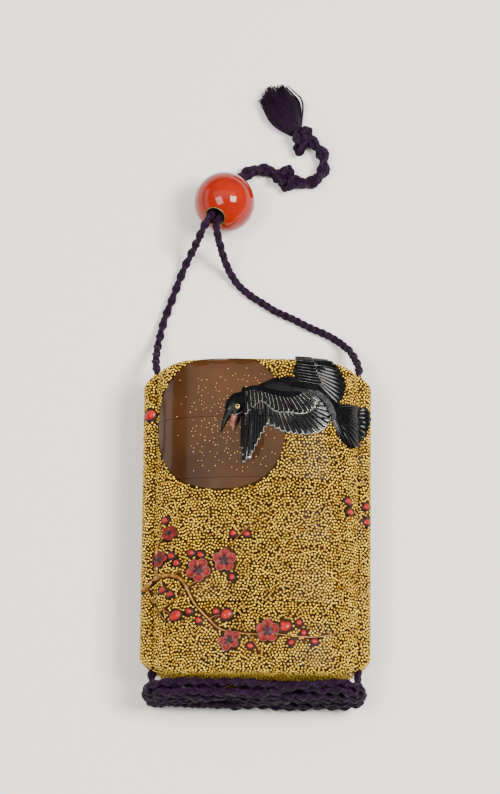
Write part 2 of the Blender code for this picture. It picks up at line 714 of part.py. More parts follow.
def cords(silk):
    """The two cords from the lid to the bead, the tail beyond it, and the drops to the bundle."""
    for name, side, free in (("left_cord", -1, LEFT_FREE), ("right_cord", 1, RIGHT_FREE)):
        route = in_channel(side, 1, CORD_START_DEPTHS) + free_route(free, side)
        route += in_bore(CORD_END_REACHES, side * CORD_ASIDE)
        cord(name, route, CORD_DIAMETER, CORD_SPACING, silk)
    tail = in_bore(TAIL_START_REACHES, 0) + free_route(TAIL_FREE)
    cord("tail_cord", tail, TAIL_DIAMETER, TAIL_SPACING, silk)
    cord("tail_end_cord", free_route(TAIL_END_FREE), TAIL_DIAMETER, TAIL_SPACING, silk)
    for name, side in (("left_drop", -1), ("right_drop", 1)):
        cord(name, in_channel(side, -1, DROP_DEPTHS), CORD_DIAMETER, CORD_SPACING, silk)


def knot(name, place, size, turn, surface):
    """A lumpy knot: a ball squeezed to size, with its middle drawn in."""
    bpy.ops.mesh.primitive_uv_sphere_add(segments=12, ring_count=8, radius=0.5)
    ball = bpy.context.object
    for vertex in ball.data.vertices:
        x, y, z = vertex.co
        lump = 1 + KNOT_LUMP * math.cos(3 * math.atan2(y, x)) * (1 - 4 * z * z)
        vertex.co = Vector((x * lump * size[0], y * lump * size[1], z * size[2]))
        vertex.co.rotate(Matrix.Rotation(turn, 3, "Z"))
        vertex.co += past_lid(place)
    return finish(ball, name, surface)


def tassel(surface):
    """The cut tassel: a flat fan from the second knot."""
    start, end = Vector(TASSEL_START), Vector(TASSEL_END)
    along = (end - start).normalized()
    across = Vector((-along.y, along.x))
    rings = []
    for share, width, height in zip(TASSEL_PLACES, TASSEL_WIDTHS, TASSEL_HEIGHTS):
        middle = start.lerp(end, share)
        ring = []
        for step in range(TASSEL_SIDES):
            angle = 2 * math.pi * step / TASSEL_SIDES
            flat = middle + across * width / 2 * math.cos(angle)
            rise = height / 2 * (1 + math.sin(angle)) + TASSEL_FLOOR_GAP
            ring.append(past_lid((flat.x, flat.y, rise)))
        rings.append(ring)
    return finish(loft("tassel", rings), "tassel", surface)


def bundle(surface):
    """The cord's loops gathered under the bottom end, as one solid that leans on it."""
    back = -HALF_LENGTH - BUNDLE_GAP
    radius = BUNDLE_HEIGHT / 2
    reach = BUNDLE_LENGTH / 2 - radius
    angles = [math.pi / 2 * step / BUNDLE_END_STEPS for step in range(BUNDLE_END_STEPS)]
    right = [(reach + radius * math.sin(angle), radius * math.cos(angle)) for angle in angles]
    places = [(-x, half) for x, half in reversed(right)] + right
    rings = []
    for x, half in places:
        low = radius - half + BUNDLE_FLOOR_GAP
        profile = ((0, 0), (0, 1), (0.5, 1), (0.85, 0.8), (1, 0.45), (0.95, 0.15), (0.75, 0))
        rings.append([(x, back - BUNDLE_DEPTH * out, low + 2 * half * up) for out, up in profile])
    return finish(loft("cord_bundle", rings), "cord_bundle", surface)


def build():
    for leftover in list(bpy.data.objects):
        bpy.data.objects.remove(leftover)
    lacquer = material("gold_sprinkled_lacquer", (0.45, 0.30, 0.08), 0.35, 0.6)
    coral = material("coral", (0.62, 0.05, 0.015), 0.15)
    silk = material("plum_silk", (0.045, 0.022, 0.055), 0.7)
    cases(lacquer)
    bead(coral)
    cords(silk)
    knot("tail_knot", TAIL_KNOT_PLACE, TAIL_KNOT_SIZE, TAIL_KNOT_TURN, silk)
    knot("tassel_knot", TASSEL_KNOT_PLACE, TASSEL_KNOT_SIZE, TASSEL_KNOT_TURN, silk)
    tassel(silk)
    bundle(silk)


build()
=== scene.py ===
import math
import random

import bpy
import numpy as np
from mathutils import Matrix, Vector
from mathutils.kdtree import KDTree


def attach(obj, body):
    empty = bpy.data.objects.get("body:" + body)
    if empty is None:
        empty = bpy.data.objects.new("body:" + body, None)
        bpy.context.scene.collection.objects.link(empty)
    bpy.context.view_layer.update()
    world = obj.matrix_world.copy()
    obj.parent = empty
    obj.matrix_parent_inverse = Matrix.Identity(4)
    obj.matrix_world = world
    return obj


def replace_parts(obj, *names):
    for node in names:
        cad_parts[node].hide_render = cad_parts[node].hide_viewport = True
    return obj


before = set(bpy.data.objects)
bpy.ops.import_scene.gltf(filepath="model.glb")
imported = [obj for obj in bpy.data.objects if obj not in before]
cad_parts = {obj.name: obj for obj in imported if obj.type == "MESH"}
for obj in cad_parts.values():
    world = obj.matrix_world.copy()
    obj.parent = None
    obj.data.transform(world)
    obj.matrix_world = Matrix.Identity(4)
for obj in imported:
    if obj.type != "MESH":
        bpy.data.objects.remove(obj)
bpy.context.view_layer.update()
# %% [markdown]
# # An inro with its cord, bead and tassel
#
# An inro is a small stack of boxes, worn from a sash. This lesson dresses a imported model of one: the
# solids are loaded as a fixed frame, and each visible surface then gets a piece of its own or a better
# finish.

MM = 0.001

# %% [markdown]
# ## Camera
#
# The inro is seen nearly from above, from far away, so that its sides stay parallel. A long lens a
# metre off does this. The camera leans 15.5 degrees back from straight down and is rolled by 0.6 degrees.

# %% Camera at the photograph's angle
AIM = Vector((-0.00215, 0.03453, 0.020))
CAMERA_DISTANCE = 1.100
ELEVATION = math.radians(74.5)
ROLL = math.radians(0.6)
side = Vector((1, 0, 0))
rise = Vector((0, math.sin(ELEVATION), math.cos(ELEVATION)))
towards = Vector((0, -math.cos(ELEVATION), math.sin(ELEVATION)))
right = side * math.cos(ROLL) + rise * math.sin(ROLL)
up = rise * math.cos(ROLL) - side * math.sin(ROLL)
lens = bpy.data.cameras.new("camera")
lens.lens = 178.4
lens.sensor_width = 36
lens.clip_start = 0.05
camera = bpy.data.objects.new("camera", lens)
bpy.context.collection.objects.link(camera)
turn = Matrix((right, up, towards)).transposed().to_4x4()
camera.matrix_world = Matrix.Translation(AIM + towards * CAMERA_DISTANCE) @ turn
bpy.context.scene.camera = camera
print("camera at", tuple(round(value, 3) for value in camera.matrix_world.translation))

# %% [markdown]
# ## Helpers for working as by hand
#
# An operator acts on everything that is selected, so one piece is picked alone before each step. A
# modifier is applied at once, because the finished piece must be plain mesh.

# %% Picking, editing, applying and joining
def pick(*pieces):
    """Selects only these pieces, the first one active."""
    bpy.ops.object.select_all(action="DESELECT")
    for piece in pieces:
        piece.select_set(True)
    bpy.context.view_layer.objects.active = pieces[0]


def start_edit(piece):
    """Edit mode with all of the piece selected."""
    pick(piece)
    bpy.ops.object.mode_set(mode="EDIT")
    bpy.ops.mesh.select_all(action="SELECT")


def finish_edit():
    """Turns all faces outwards and leaves edit mode."""
    bpy.ops.mesh.select_all(action="SELECT")
    bpy.ops.mesh.normals_make_consistent(inside=False)
    bpy.ops.object.mode_set(mode="OBJECT")


def apply_modifiers(piece):
    pick(piece)
    for modifier in list(piece.modifiers):
        bpy.ops.object.modifier_apply(modifier=modifier.name)


def joined(pieces, name):
    """Several pieces as one, under the first one's object."""
    pick(*pieces)
    if len(pieces) > 1:
        bpy.ops.object.join()
    piece = bpy.context.view_layer.objects.active
    piece.name = name
    piece.data.name = name
    return piece


def smooth(piece, degrees=40):
    pick(piece)
    bpy.ops.object.shade_smooth_by_angle(angle=math.radians(degrees))
    return piece


def triangles(piece):
    return sum(len(face.vertices) - 2 for face in piece.data.polygons)


def settle_on(piece):
    """The piece rides on the inro."""
    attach(piece, "root")
    return piece


print(len(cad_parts), "packed nodes,", sum(triangles(solid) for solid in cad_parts.values()),
      "triangles")


# %% [markdown]
# ## Cords
#
# The cord is a round braid of silk, 2.6 mm thick where its strands bulge. A braid shows its crossing
# strands from any side, so it is modelled as real strands: two wind one way, two the other, and each
# goes in and out where it passes another. The route of the middle line comes first, as a smooth curve
# through chosen points.

# %% A smooth route with even steps
def smooth_route(route, step):
    """Evenly spaced points on a smooth curve through the chosen points."""
    fine = []
    for index in range(len(route) - 1):
        before = route[max(index - 1, 0)]
        first, second = route[index], route[index + 1]
        after = route[min(index + 2, len(route) - 1)]
        for part in range(16):
            t = part / 16
            fine.append(0.5 * (2 * first + (second - before) * t
                               + (2 * before - 5 * first + 4 * second - after) * t * t
                               + (3 * first - before - 3 * second + after) * t ** 3))
    fine.append(route[-1])
    lengths = [0]
    for first, second in zip(fine, fine[1:]):
        lengths.append(lengths[-1] + (second - first).length)
    count = max(4, round(lengths[-1] / step))
    points, index = [], 0
    for number in range(count + 1):
        target = lengths[-1] * number / count
        while index < len(lengths) - 2 and lengths[index + 1] < target:
            index += 1
        share = (target - lengths[index]) / max(lengths[index + 1] - lengths[index], 1e-9)
        points.append(fine[index].lerp(fine[index + 1], min(share, 1)))
    return points, lengths[-1]


def side_axes(points):
    """Two axes across the route at each point, carried along it without twisting."""
    across = Vector((0, 0, 1))
    pairs = []
    for index, point in enumerate(points):
        ahead = points[min(index + 1, len(points) - 1)] - points[max(index - 1, 0)]
        ahead.normalize()
        across = across - ahead * across.dot(ahead)
        if across.length < 1e-4:
            across = ahead.orthogonal()
        across.normalize()
        pairs.append((across.copy(), ahead.cross(across)))
    return pairs


bend, bend_length = smooth_route([Vector((0, 0, 0)), Vector((10, 0, 0)), Vector((10, 10, 0))], 2)
print("a smooth bend through 3 points is", round(bend_length, 1), "mm long, in", len(bend), "points")


# %% [markdown]
# The strands are drawn as curves with a round bevel, because a curve keeps its thickness round every
# bend. They are turned into a mesh at the end. Two values are stored on the mesh for the silk's fine
# lines: how far along its strand each point lies, and where it lies round it.

# %% Strands as one mesh
def tubes(name, lines, radius, sides=1, taper=None):
    """Round strands along lines of points, as one mesh with closed ends."""
    curve = bpy.data.curves.new(name, "CURVE")
    curve.dimensions = "3D"
    for line in lines:
        spline = curve.splines.new("POLY")
        spline.points.add(len(line) - 1)
        for index, (target, point) in enumerate(zip(spline.points, line)):
            target.co = (*point, 1)
            target.radius = taper(index / (len(line) - 1)) if taper else 1
    curve.bevel_depth = radius
    curve.bevel_resolution = sides
    curve.use_fill_caps = True
    piece = bpy.data.objects.new(name, curve)
    bpy.context.collection.objects.link(piece)
    pick(piece)
    bpy.ops.object.convert(target="MESH")
    piece = bpy.context.view_layer.objects.active
    start_edit(piece)
    bpy.ops.mesh.remove_doubles(threshold=1e-7)
    finish_edit()
    note_fibres(piece, lines)
    pick(piece)
    bpy.ops.object.shade_smooth()
    return piece


def note_fibres(piece, lines):
    """Stores on each point how far along its strand it lies, in millimetres, and where round it."""
    points = [point for line in lines for point in line]
    tree = KDTree(len(points))
    along, axes = [], []
    for line in lines:
        distance = 0
        for index, point in enumerate(line):
            distance += (point - line[max(index - 1, 0)]).length
            along.append(distance / MM)
        axes += side_axes(line)
    for index, point in enumerate(points):
        tree.insert(point, index)
    tree.balance()
    distances, turns = [], []
    for vertex in piece.data.vertices:
        _, index, _ = tree.find(vertex.co)
        out = vertex.co - points[index]
        first, second = axes[index]
        distances.append(along[index])
        turns.append(math.atan2(out.dot(second), out.dot(first)))
    for name, values in (("along", distances), ("round", turns)):
        attribute = piece.data.attributes.new(name, "FLOAT", "POINT")
        attribute.data.foreach_set("value", values)


# %% [markdown]
# The braid winds its four strands round the route's middle line. Two go one way and two the other, and
# each one's distance from the middle swings, so that it passes over and under the ones it crosses.

# %% The braid
BRAID_STEP, BRAID_STRAND, BRAID_RING, BRAID_WEAVE = 0.17, 0.225, 0.19, 0.10


def braid(name, route, diameter, turn_length):
    """A round braid of four strands along a route; gives the piece, its middle line and its length."""
    middle, length = smooth_route(route, diameter * BRAID_STEP)
    axes = side_axes(middle)
    strand, ring, weave = diameter * BRAID_STRAND, diameter * BRAID_RING, diameter * BRAID_WEAVE
    lines = []
    for way in (1, -1):
        for start in (0, math.pi):
            line = []
            for index, (point, (first, second)) in enumerate(zip(middle, axes)):
                wound = 2 * math.pi * length * index / (len(middle) - 1) / turn_length
                angle = way * wound + start
                reach = ring + way * weave * math.cos(2 * wound)
                line.append(point + first * reach * math.cos(angle) + second * reach * math.sin(angle))
            lines.append(line)
    return tubes(name, lines, strand), middle, length


print("four strands, each", round(BRAID_STRAND * 200), "% of the braid's thickness")


# %% [markdown]
# The two cords come out of the lid's runners, fall to the surface and rise again into the bead. The
# tail comes out of the bead's other side, passes a knot, and curls round to a second knot.

# %% Routes from the lid to the bead and beyond
PICTURE_DROP = 0.0005


def metres(points):
    """Places read off the photograph in millimetres; its middle is half a millimetre low on the inro."""
    return [Vector(point) * MM - Vector((0, PICTURE_DROP, 0)) for point in points]


LEFT_ROUTE = metres([(-28.4, 36, 12.8), (-28.4, 40, 12.8), (-28.4, 44, 12.8),
                     (-28.9, 46.6, 10.6), (-28.9, 50.2, 7.4), (-28.6, 54.0, 4.2), (-27.8, 58.6, 2.1),
                     (-26.8, 63.0, 1.4), (-25.0, 68.2, 1.3), (-23.0, 74.0, 1.35), (-21.6, 77.6, 2.0),
                     (-20.2, 80.2, 3.8), (-18.8, 82.2, 6.8), (-17.4, 84.0, 10.6), (-16.3, 85.7, 13.6),
                     (-15.3, 87.4, 15.2), (-14.5, 89.0, 15.0),
                     (-13.86, 90.38, 13.98), (-13.08, 92.18, 12.44), (-12.29, 93.99, 10.9)])
RIGHT_ROUTE = metres([(28.4, 36, 12.8), (28.4, 40, 12.8), (28.4, 44, 12.8),
                      (28.4, 46.6, 10.6), (27.4, 50.2, 7.2), (25.8, 53.6, 4.0), (23.2, 56.4, 2.0),
                      (19.6, 58.8, 1.3), (15.0, 60.8, 1.3), (9.9, 63.4, 1.3), (4.9, 65.7, 1.3),
                      (1.3, 68.0, 1.3), (-2.4, 70.4, 1.3), (-5.9, 73.5, 1.5), (-8.2, 76.6, 3.0),
                      (-9.9, 79.5, 6.4), (-11.0, 82.0, 10.6), (-11.8, 84.2, 13.9), (-12.2, 86.2, 15.4),
                      (-12.05, 88.0, 15.0), (-11.48, 89.34, 13.98), (-10.7, 91.14, 12.44),
                      (-9.91, 92.95, 10.9)])
TAIL_ROUTE = metres([(-9.06, 98.17, 6.9), (-8.11, 100.34, 5.06), (-7.42, 101.93, 3.7),
                     (-6.4, 104.1, 2.7), (-4.6, 106.3, 2.2), (-1.8, 107.8, 2.15), (1.2, 108.1, 2.15),
                     (3.9, 107.2, 2.15), (7.0, 105.7, 2.4), (10.4, 104.6, 2.15), (13.3, 104.1, 2.15),
                     (16.2, 105.2, 2.15), (18.2, 107.9, 2.15), (18.5, 111.4, 2.15), (17.3, 114.4, 2.15),
                     (15.0, 116.7, 2.15), (12.6, 118.0, 2.4), (10.9, 119.4, 2.4)])
CORD = 0.0026
TAIL = 0.0042
CORD_TURN = 0.0078
TAIL_TURN = 0.0098
left_cord, left_line, left_length = braid("braid_left", LEFT_ROUTE, CORD, CORD_TURN)
right_cord, right_line, right_length = braid("braid_right", RIGHT_ROUTE, CORD, CORD_TURN)
tail, tail_line, tail_length = braid("braid_tail", TAIL_ROUTE, TAIL, TAIL_TURN)
for piece, length in ((left_cord, left_length), (right_cord, right_length), (tail, tail_length)):
    print(piece.name, round(length * 1000), "mm,", triangles(piece), "triangles")

# %% [markdown]
# ## The gathered cord under the bottom end
#
# The spare cord is laid in flat turns against the bottom end. It comes out of one runner, crosses
# thirteen times and goes up the other runner, so it is one cord with both ends in the inro. Each run
# has a place at its left and another at its right, and so the runs cross somewhere in the middle, as
# they do when a cord is gathered by hand.

# %% Runs and folds of the gathered cord
END_FACE = -44.5
LOW_LEFT = [(4.8, 3.6), (4.9, 6.4), (3.6, 1.5), (2.8, 4.3), (1.4, 1.5), (4.5, 9.2), (2.4, 7.2)]
LOW_RIGHT = [(3.4, 1.6), (4.7, 6.0), (4.7, 3.2), (1.4, 1.5), (2.9, 4.4), (2.5, 7.4), (4.6, 8.9)]
HIGH_LEFT = [(1.4, 18.6), (3.6, 17.0), (1.5, 15.8), (4.6, 14.2), (2.4, 13.0), (4.6, 11.7)]
HIGH_RIGHT = [(3.5, 17.4), (1.4, 18.7), (4.3, 14.7), (1.5, 15.8), (4.5, 11.9), (2.4, 12.8)]
RUN_REACH = 23.6
chance = random.Random(7)


def hank_point(x, place):
    return Vector((x, END_FACE - place[0], place[1]))


SWAP_REACH, SWAP_LENGTH = 13, 22


def run_across(start, end, way):
    """One run from side to side, moving from its left place to its right one near the middle."""
    swap = chance.uniform(-SWAP_REACH, SWAP_REACH)
    points = []
    for step in range(9):
        x = way * RUN_REACH * (-1 + 2 * step / 8)
        share = min(max((way * (x - swap)) / SWAP_LENGTH + 0.5, 0), 1)
        share = share * share * (3 - 2 * share)
        place = Vector(start).lerp(Vector(end), share)
        wave = Vector((chance.uniform(-0.5, 0.5), chance.uniform(-1.0, 1.0)))
        points.append(hank_point(x, (max(place.x + wave.x, 1.25), max(place.y + wave.y, 1.35))))
    return points


def turn_back(start, end, way):
    """The fold at one side, round from one place to the other."""
    start, end = Vector(start), Vector(end)
    bulge = chance.uniform(5.6, 6.7)
    points = []
    for degrees in (-60, -25, 10, 45, 75):
        angle = math.radians(degrees)
        place = (start + end) / 2 + (end - start) / 2 * math.sin(angle)
        points.append(hank_point(way * (RUN_REACH + bulge * math.cos(angle)), (max(place.x, 1.25), place.y)))
    return points


print(len(LOW_LEFT) + len(HIGH_LEFT), "runs of", 2 * RUN_REACH, "mm and the folds between them")

# %% [markdown]
# The cord drops out of the left channel, takes its runs and folds in turn, and climbs into the right
# channel.

# %% Lay the gathered cord
hank = [(-28.4, -33, 12.8), (-28.4, -38, 12.8), (-28.4, -42, 12.8), (-28.8, -45.2, 11.0),
        (-29.9, -47.4, 7.6), (-28.6, -49.2, 4.6)]
hank = [Vector(point) for point in hank]
for turn_number in range(len(HIGH_LEFT)):
    low_left, low_right = LOW_LEFT[turn_number], LOW_RIGHT[turn_number]
    high_left, high_right = HIGH_LEFT[turn_number], HIGH_RIGHT[turn_number]
    hank += run_across(low_left, low_right, 1)
    hank += turn_back(low_right, high_right, 1)
    hank += run_across(high_right, high_left, -1)
    hank += turn_back(high_left, LOW_LEFT[turn_number + 1], -1)
hank += run_across(LOW_LEFT[6], LOW_RIGHT[6], 1)
hank += [Vector(point) for point in ((26.8, -49.0, 9.4), (28.7, -46.6, 11.4), (28.4, -44.2, 12.6),
                                     (28.4, -41, 12.8), (28.4, -37, 12.8), (28.4, -33, 12.8))]
gathered, gathered_line, gathered_length = braid("braid_gathered", metres(hank), CORD, CORD_TURN)
print("gathered cord:", round(gathered_length * 1000), "mm,", triangles(gathered), "triangles")

# %% [markdown]
# ## Knots
#
# Each knot is the same braid drawn into a small lump. A trefoil is the simplest knotted line, so its
# path is squeezed to the knot's size and the braid is run along it, closed into itself at the back.

# %% Tie the two knots
def knot(name, centre, size, turn_angle, thickness):
    """A trefoil of braid inside a box of the given size, in millimetres."""
    route = []
    for step in range(37):
        t = 2 * math.pi * step / 36
        x = math.sin(t) + 2 * math.sin(2 * t)
        y = math.cos(t) - 2 * math.cos(2 * t)
        z = -math.sin(3 * t)
        point = Vector((x / 3 * (size[0] - thickness) / 2, y / 3 * (size[1] - thickness) / 2,
                        z * (size[2] - thickness) / 2))
        point.rotate(Matrix.Rotation(turn_angle, 3, "Z"))
        route.append(point + Vector(centre))
    piece, _, _ = braid(name, metres(route), thickness * MM, CORD_TURN)
    return piece


tail_knot = knot("knot_on_tail", (7.2, 105.4, 2.85), (8.4, 9.0, 5.2), 0.4, 2.9)
tassel_knot = knot("knot_at_tassel", (12.0, 117.4, 2.85), (7.0, 10.8, 5.2), -0.15, 2.8)
print("knots:", triangles(tail_knot) + triangles(tassel_knot), "triangles")

# %% [markdown]
# ## Tassel
#
# The cord's end is cut and combed out into loose silk. A few hundred thin tapered strands fan out of the
# knot, each with its own bend, over a core that closes the gaps between them.

# %% Comb out the tassel
TASSEL_START = Vector((10.4, 119.6))
TASSEL_END = Vector((2.2, 133.8))
TASSEL_AXIS = (TASSEL_END - TASSEL_START).normalized()
TASSEL_ACROSS = Vector((-TASSEL_AXIS.y, TASSEL_AXIS.x))
TASSEL_LENGTH = (TASSEL_END - TASSEL_START).length


def tassel_place(share, out, height):
    """A place in the tassel: along it, across it from -1 to 1, and up it from 0 to 1."""
    spread = 1.6 + 3.0 * min(share * 2.0, 1) ** 0.8 + 0.3 * math.sin(7 * share)
    thick = 3.2 + 1.2 * math.sin(math.pi * min(share * 1.1, 1))
    flat = TASSEL_START + TASSEL_AXIS * TASSEL_LENGTH * share + TASSEL_ACROSS * spread * out
    edge = math.sqrt(max(1 - out * out, 0.05))
    return Vector((flat.x, flat.y, 0.25 + thick * (0.5 + (height - 0.5) * edge)))


def tassel_strand():
    out, height = chance.uniform(-1, 1), chance.uniform(0, 1)
    sway, lift = chance.gauss(0, 0.18), chance.uniform(-0.25, 0.25)
    reach = chance.uniform(0.74, 1.02) - 0.14 * abs(out)
    line = []
    for step in range(9):
        share = reach * step / 8
        shift = sway * math.sin(math.pi * share) + 0.05 * math.sin(9 * share + 6 * out)
        line.append(tassel_place(share, out + shift, min(max(height + lift * share, 0), 1)))
    return metres(line)


STRAND_COUNT, STRAND_RADIUS, CORE_RADIUS = 360, 0.00021, 0.0016
strands = [tassel_strand() for _ in range(STRAND_COUNT)]
fringe = tubes("tassel_strands", strands, STRAND_RADIUS, 0, lambda share: 1.15 - 0.55 * share)
core_line = metres([tassel_place(share, 0, 0.45) for share in (0, 0.2, 0.4, 0.6, 0.8)])
core = tubes("tassel_core", [core_line], CORE_RADIUS, 3, lambda share: 0.7 + 0.6 * share)
tassel = joined([fringe, core], "silk_tassel")
print("tassel:", len(strands), "strands,", triangles(tassel), "triangles")

# %% [markdown]
#
# The tail and the gathered turns leave the bead and the runners; the knots and the tassel are pieces
# on the tail.

silk_pieces = [left_cord, right_cord, tail, gathered, tail_knot, tassel_knot, tassel]
for piece in silk_pieces:
    settle_on(piece)
for piece, nodes in ((left_cord, ["left_cord"]), (right_cord, ["right_cord"]),
                     (tail, ["tail_cord", "tail_end_cord"]), (tail_knot, ["tail_knot"]),
                     (tassel_knot, ["tassel_knot"]), (tassel, ["tassel"]),
                     (gathered, ["cord_bundle", "left_drop", "right_drop"])):
    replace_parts(piece, *nodes)

# %% [markdown]
# ## The surface of the inro
#
# Everything on the lacquer follows one form: a lens-shaped body with a rounded runner down each side,
# and rolled edges at both ends. The ornament is drawn flat, as a maker draws on paper, and each point
# is then laid on this form. X goes across, Y along the surface, and Z becomes the height above it.

# %% The form as a function
HALF_LENGTH, BODY_HALF_WIDTH, BODY_HALF_DEPTH, FULLNESS = 0.0445, 0.0288, 0.013, 2.3
RUNNER_CENTRE, RUNNER_HALF_WIDTH, RUNNER_HALF_DEPTH = 0.0286, 0.0033, 0.0036
MIDDLE_HEIGHT, EDGE_ROLL = 0.0128, 0.0018
SHOULDER_START, SHOULDER_DROP = 0.020, 0.0042
OUTER_EDGE = RUNNER_CENTRE + RUNNER_HALF_WIDTH


def front_height(x):
    """Height of the front over the middle plane at x."""
    x = abs(x)
    body = runner = 0
    if x < BODY_HALF_WIDTH:
        body = BODY_HALF_DEPTH * (1 - (x / BODY_HALF_WIDTH) ** FULLNESS) ** (1 / FULLNESS)
    off = abs(x - RUNNER_CENTRE) / RUNNER_HALF_WIDTH
    if off < 1:
        runner = RUNNER_HALF_DEPTH * math.sqrt(1 - off * off)
    return max(body, runner)


def shoulder(x):
    """How far the ends have dropped at x."""
    share = max(0, abs(x) - SHOULDER_START) / (OUTER_EDGE - SHOULDER_START)
    return SHOULDER_DROP * min(share, 1) ** 2


def surface(x, run, face=1):
    """A point of the form and the direction out of it; face is 1 for the front and -1 for the back."""
    probe = 0.00025
    slope = (front_height(x + probe) - front_height(x - probe)) / (2 * probe)
    out = Vector((-slope, 0, 1)).normalized()
    end = math.copysign(1, run)
    edge = HALF_LENGTH - EDGE_ROLL - shoulder(x)
    over = abs(run) - edge
    place = Vector((x, run, front_height(x)))
    if over > 0:
        angle = min(over / EDGE_ROLL, math.pi / 2)
        beyond = max(0, over - EDGE_ROLL * math.pi / 2)
        place = Vector((x, end * edge, front_height(x))) - out * (EDGE_ROLL + beyond)
        turned = out * math.cos(angle) + Vector((0, end * math.sin(angle), 0))
        place += turned * EDGE_ROLL
        out = turned
    place.z = MIDDLE_HEIGHT + face * place.z
    out.z *= face
    return place, out


def lay_on_front(piece):
    """Moves each point of a flat drawing onto the front, its height above the paper kept."""
    for vertex in piece.data.vertices:
        x = min(max(vertex.co.x, -OUTER_EDGE + 0.0001), OUTER_EDGE - 0.0001)
        place, out = surface(x, vertex.co.y - PICTURE_DROP)
        vertex.co = place + out * vertex.co.z
    return piece


print("height at the middle:", round(1000 * (MIDDLE_HEIGHT + front_height(0)), 2), "mm")

# %% [markdown]
# ## Lid and cases
#
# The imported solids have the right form, walls, risers and low relief. Each is copied, its points are
# merged and it is shaded smooth, with weighted normals to keep broad faces even. The copies then stand
# for the solids.

# %% Smooth copies of the lid and the cases
CASE_NODES = ["lid", "upper_case", "second_case", "third_case", "bottom_case"]
SEAMS = [0.0275, 0.0100, -0.0075, -0.0250]
walls = {}
for name in CASE_NODES:
    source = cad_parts[name]
    wall = bpy.data.objects.new("lacquered_" + name, source.data.copy())
    bpy.context.collection.objects.link(wall)
    start_edit(wall)
    bpy.ops.mesh.remove_doubles(threshold=1e-6)
    bpy.ops.object.mode_set(mode="OBJECT")
    wall.data.materials.clear()
    smooth(wall, 32)
    even = wall.modifiers.new("even", "WEIGHTED_NORMAL")
    even.keep_sharp = True
    apply_modifiers(wall)
    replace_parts(settle_on(wall), name)
    walls[name] = wall
    print(wall.name, triangles(wall), "triangles")


SEAM_REACH = 0.00005


def case_at(y):
    """The case whose stretch of the stack holds this place along Y."""
    return CASE_NODES[sum(y < seam for seam in SEAMS)]


def case_limits(name):
    """Where the ornament of a case starts and ends along Y; it nearly closes the seams."""
    place = CASE_NODES.index(name)
    low = SEAMS[place] + SEAM_REACH if place < 4 else -0.06
    high = SEAMS[place - 1] - SEAM_REACH if place else 0.06
    return low, high


# %% [markdown]
# Ornament crosses the seams as if painted before the cases were cut apart. Each small solid is kept as
# it is when it lies on one case, and is cut through with a bisect when it lies on two. The cut faces are
# filled, so every share stays closed.

# %% Share out the ornament between the cases
def share_of(piece, low, high):
    """A copy of a piece cut to one stretch of the stack, with closed cuts."""
    share = bpy.data.objects.new(piece.name, piece.data.copy())
    bpy.context.collection.objects.link(share)
    for place, direction in ((low, -1), (high, 1)):
        reach = [vertex.co.y * direction for vertex in share.data.vertices]
        if max(reach) <= place * direction:
            continue
        start_edit(share)
        bpy.ops.mesh.bisect(plane_co=(0, place, 0), plane_no=(0, direction, 0), use_fill=True,
                            clear_outer=True, threshold=1e-7)
        bpy.ops.object.mode_set(mode="OBJECT")
    return share


def share_out(pieces, name):
    """Joins small solids into one piece for each case that they lie on."""
    made = {}
    for case in CASE_NODES:
        low, high = case_limits(case)
        shares = []
        for piece in pieces:
            reach = [vertex.co.y for vertex in piece.data.vertices]
            if min(reach) < high and max(reach) > low:
                shares.append(share_of(piece, low, high))
        if shares:
            whole = joined(shares, name + "_" + case)
            made[case] = settle_on(smooth(whole, 35))
    for piece in pieces:
        bpy.data.objects.remove(piece)
    print(name, "on", {case: triangles(piece) for case, piece in made.items()})
    return made


# %% [markdown]
# ## Finishes
#
# Finishes come before the pieces that carry them. An effect that several finishes share is a node
# group: here, a slow patchy change of tone, and a fine unevenness that breaks up the gloss.

# %% Shared effects as node groups
def new_group(name, inputs, outputs):
    """An empty node group with named inputs and outputs; gives it and its two end nodes."""
    group = bpy.data.node_groups.new(name, "ShaderNodeTree")
    for label, kind, value in inputs:
        socket = group.interface.new_socket(name=label, in_out="INPUT", socket_type=kind)
        socket.default_value = value
    for label, kind in outputs:
        group.interface.new_socket(name=label, in_out="OUTPUT", socket_type=kind)
    return group, group.nodes.new("NodeGroupInput"), group.nodes.new("NodeGroupOutput")


def node(tree, kind, values=None, **settings):
    """A node with its settings and the values of its sockets."""
    made = tree.nodes.new("ShaderNode" + kind)
    for name, value in settings.items():
        setattr(made, name, value)
    for socket, value in (values or {}).items():
        made.inputs[socket].default_value = value
    return made


def wire(tree, *links):
    """Makes links, each given as a node and its output, then a node and its input."""
    for source, output, target, entry in links:
        tree.links.new(source.outputs[output], target.inputs[entry])


FLOAT, COLOUR = "NodeSocketFloat", "NodeSocketColor"
patches, start, end = new_group("patchy tone", [("Scale", FLOAT, 200), ("Dark", COLOUR, (0, 0, 0, 1)),
                                                ("Light", COLOUR, (1, 1, 1, 1)), ("Low", FLOAT, 0.35),
                                                ("High", FLOAT, 0.65)],
                                [("Color", COLOUR)])
place = node(patches, "TexCoord")
noise = node(patches, "TexNoise", {"Detail": 3.0, "Roughness": 0.6})
spread = node(patches, "MapRange")
blend = node(patches, "Mix", data_type="RGBA")
wire(patches, (place, "Object", noise, "Vector"), (start, "Scale", noise, "Scale"),
     (noise, "Fac", spread, "Value"), (start, "Low", spread, "From Min"),
     (start, "High", spread, "From Max"), (spread, "Result", blend, "Factor"),
     (start, "Dark", blend, "A"), (start, "Light", blend, "B"), (blend, "Result", end, "Color"))

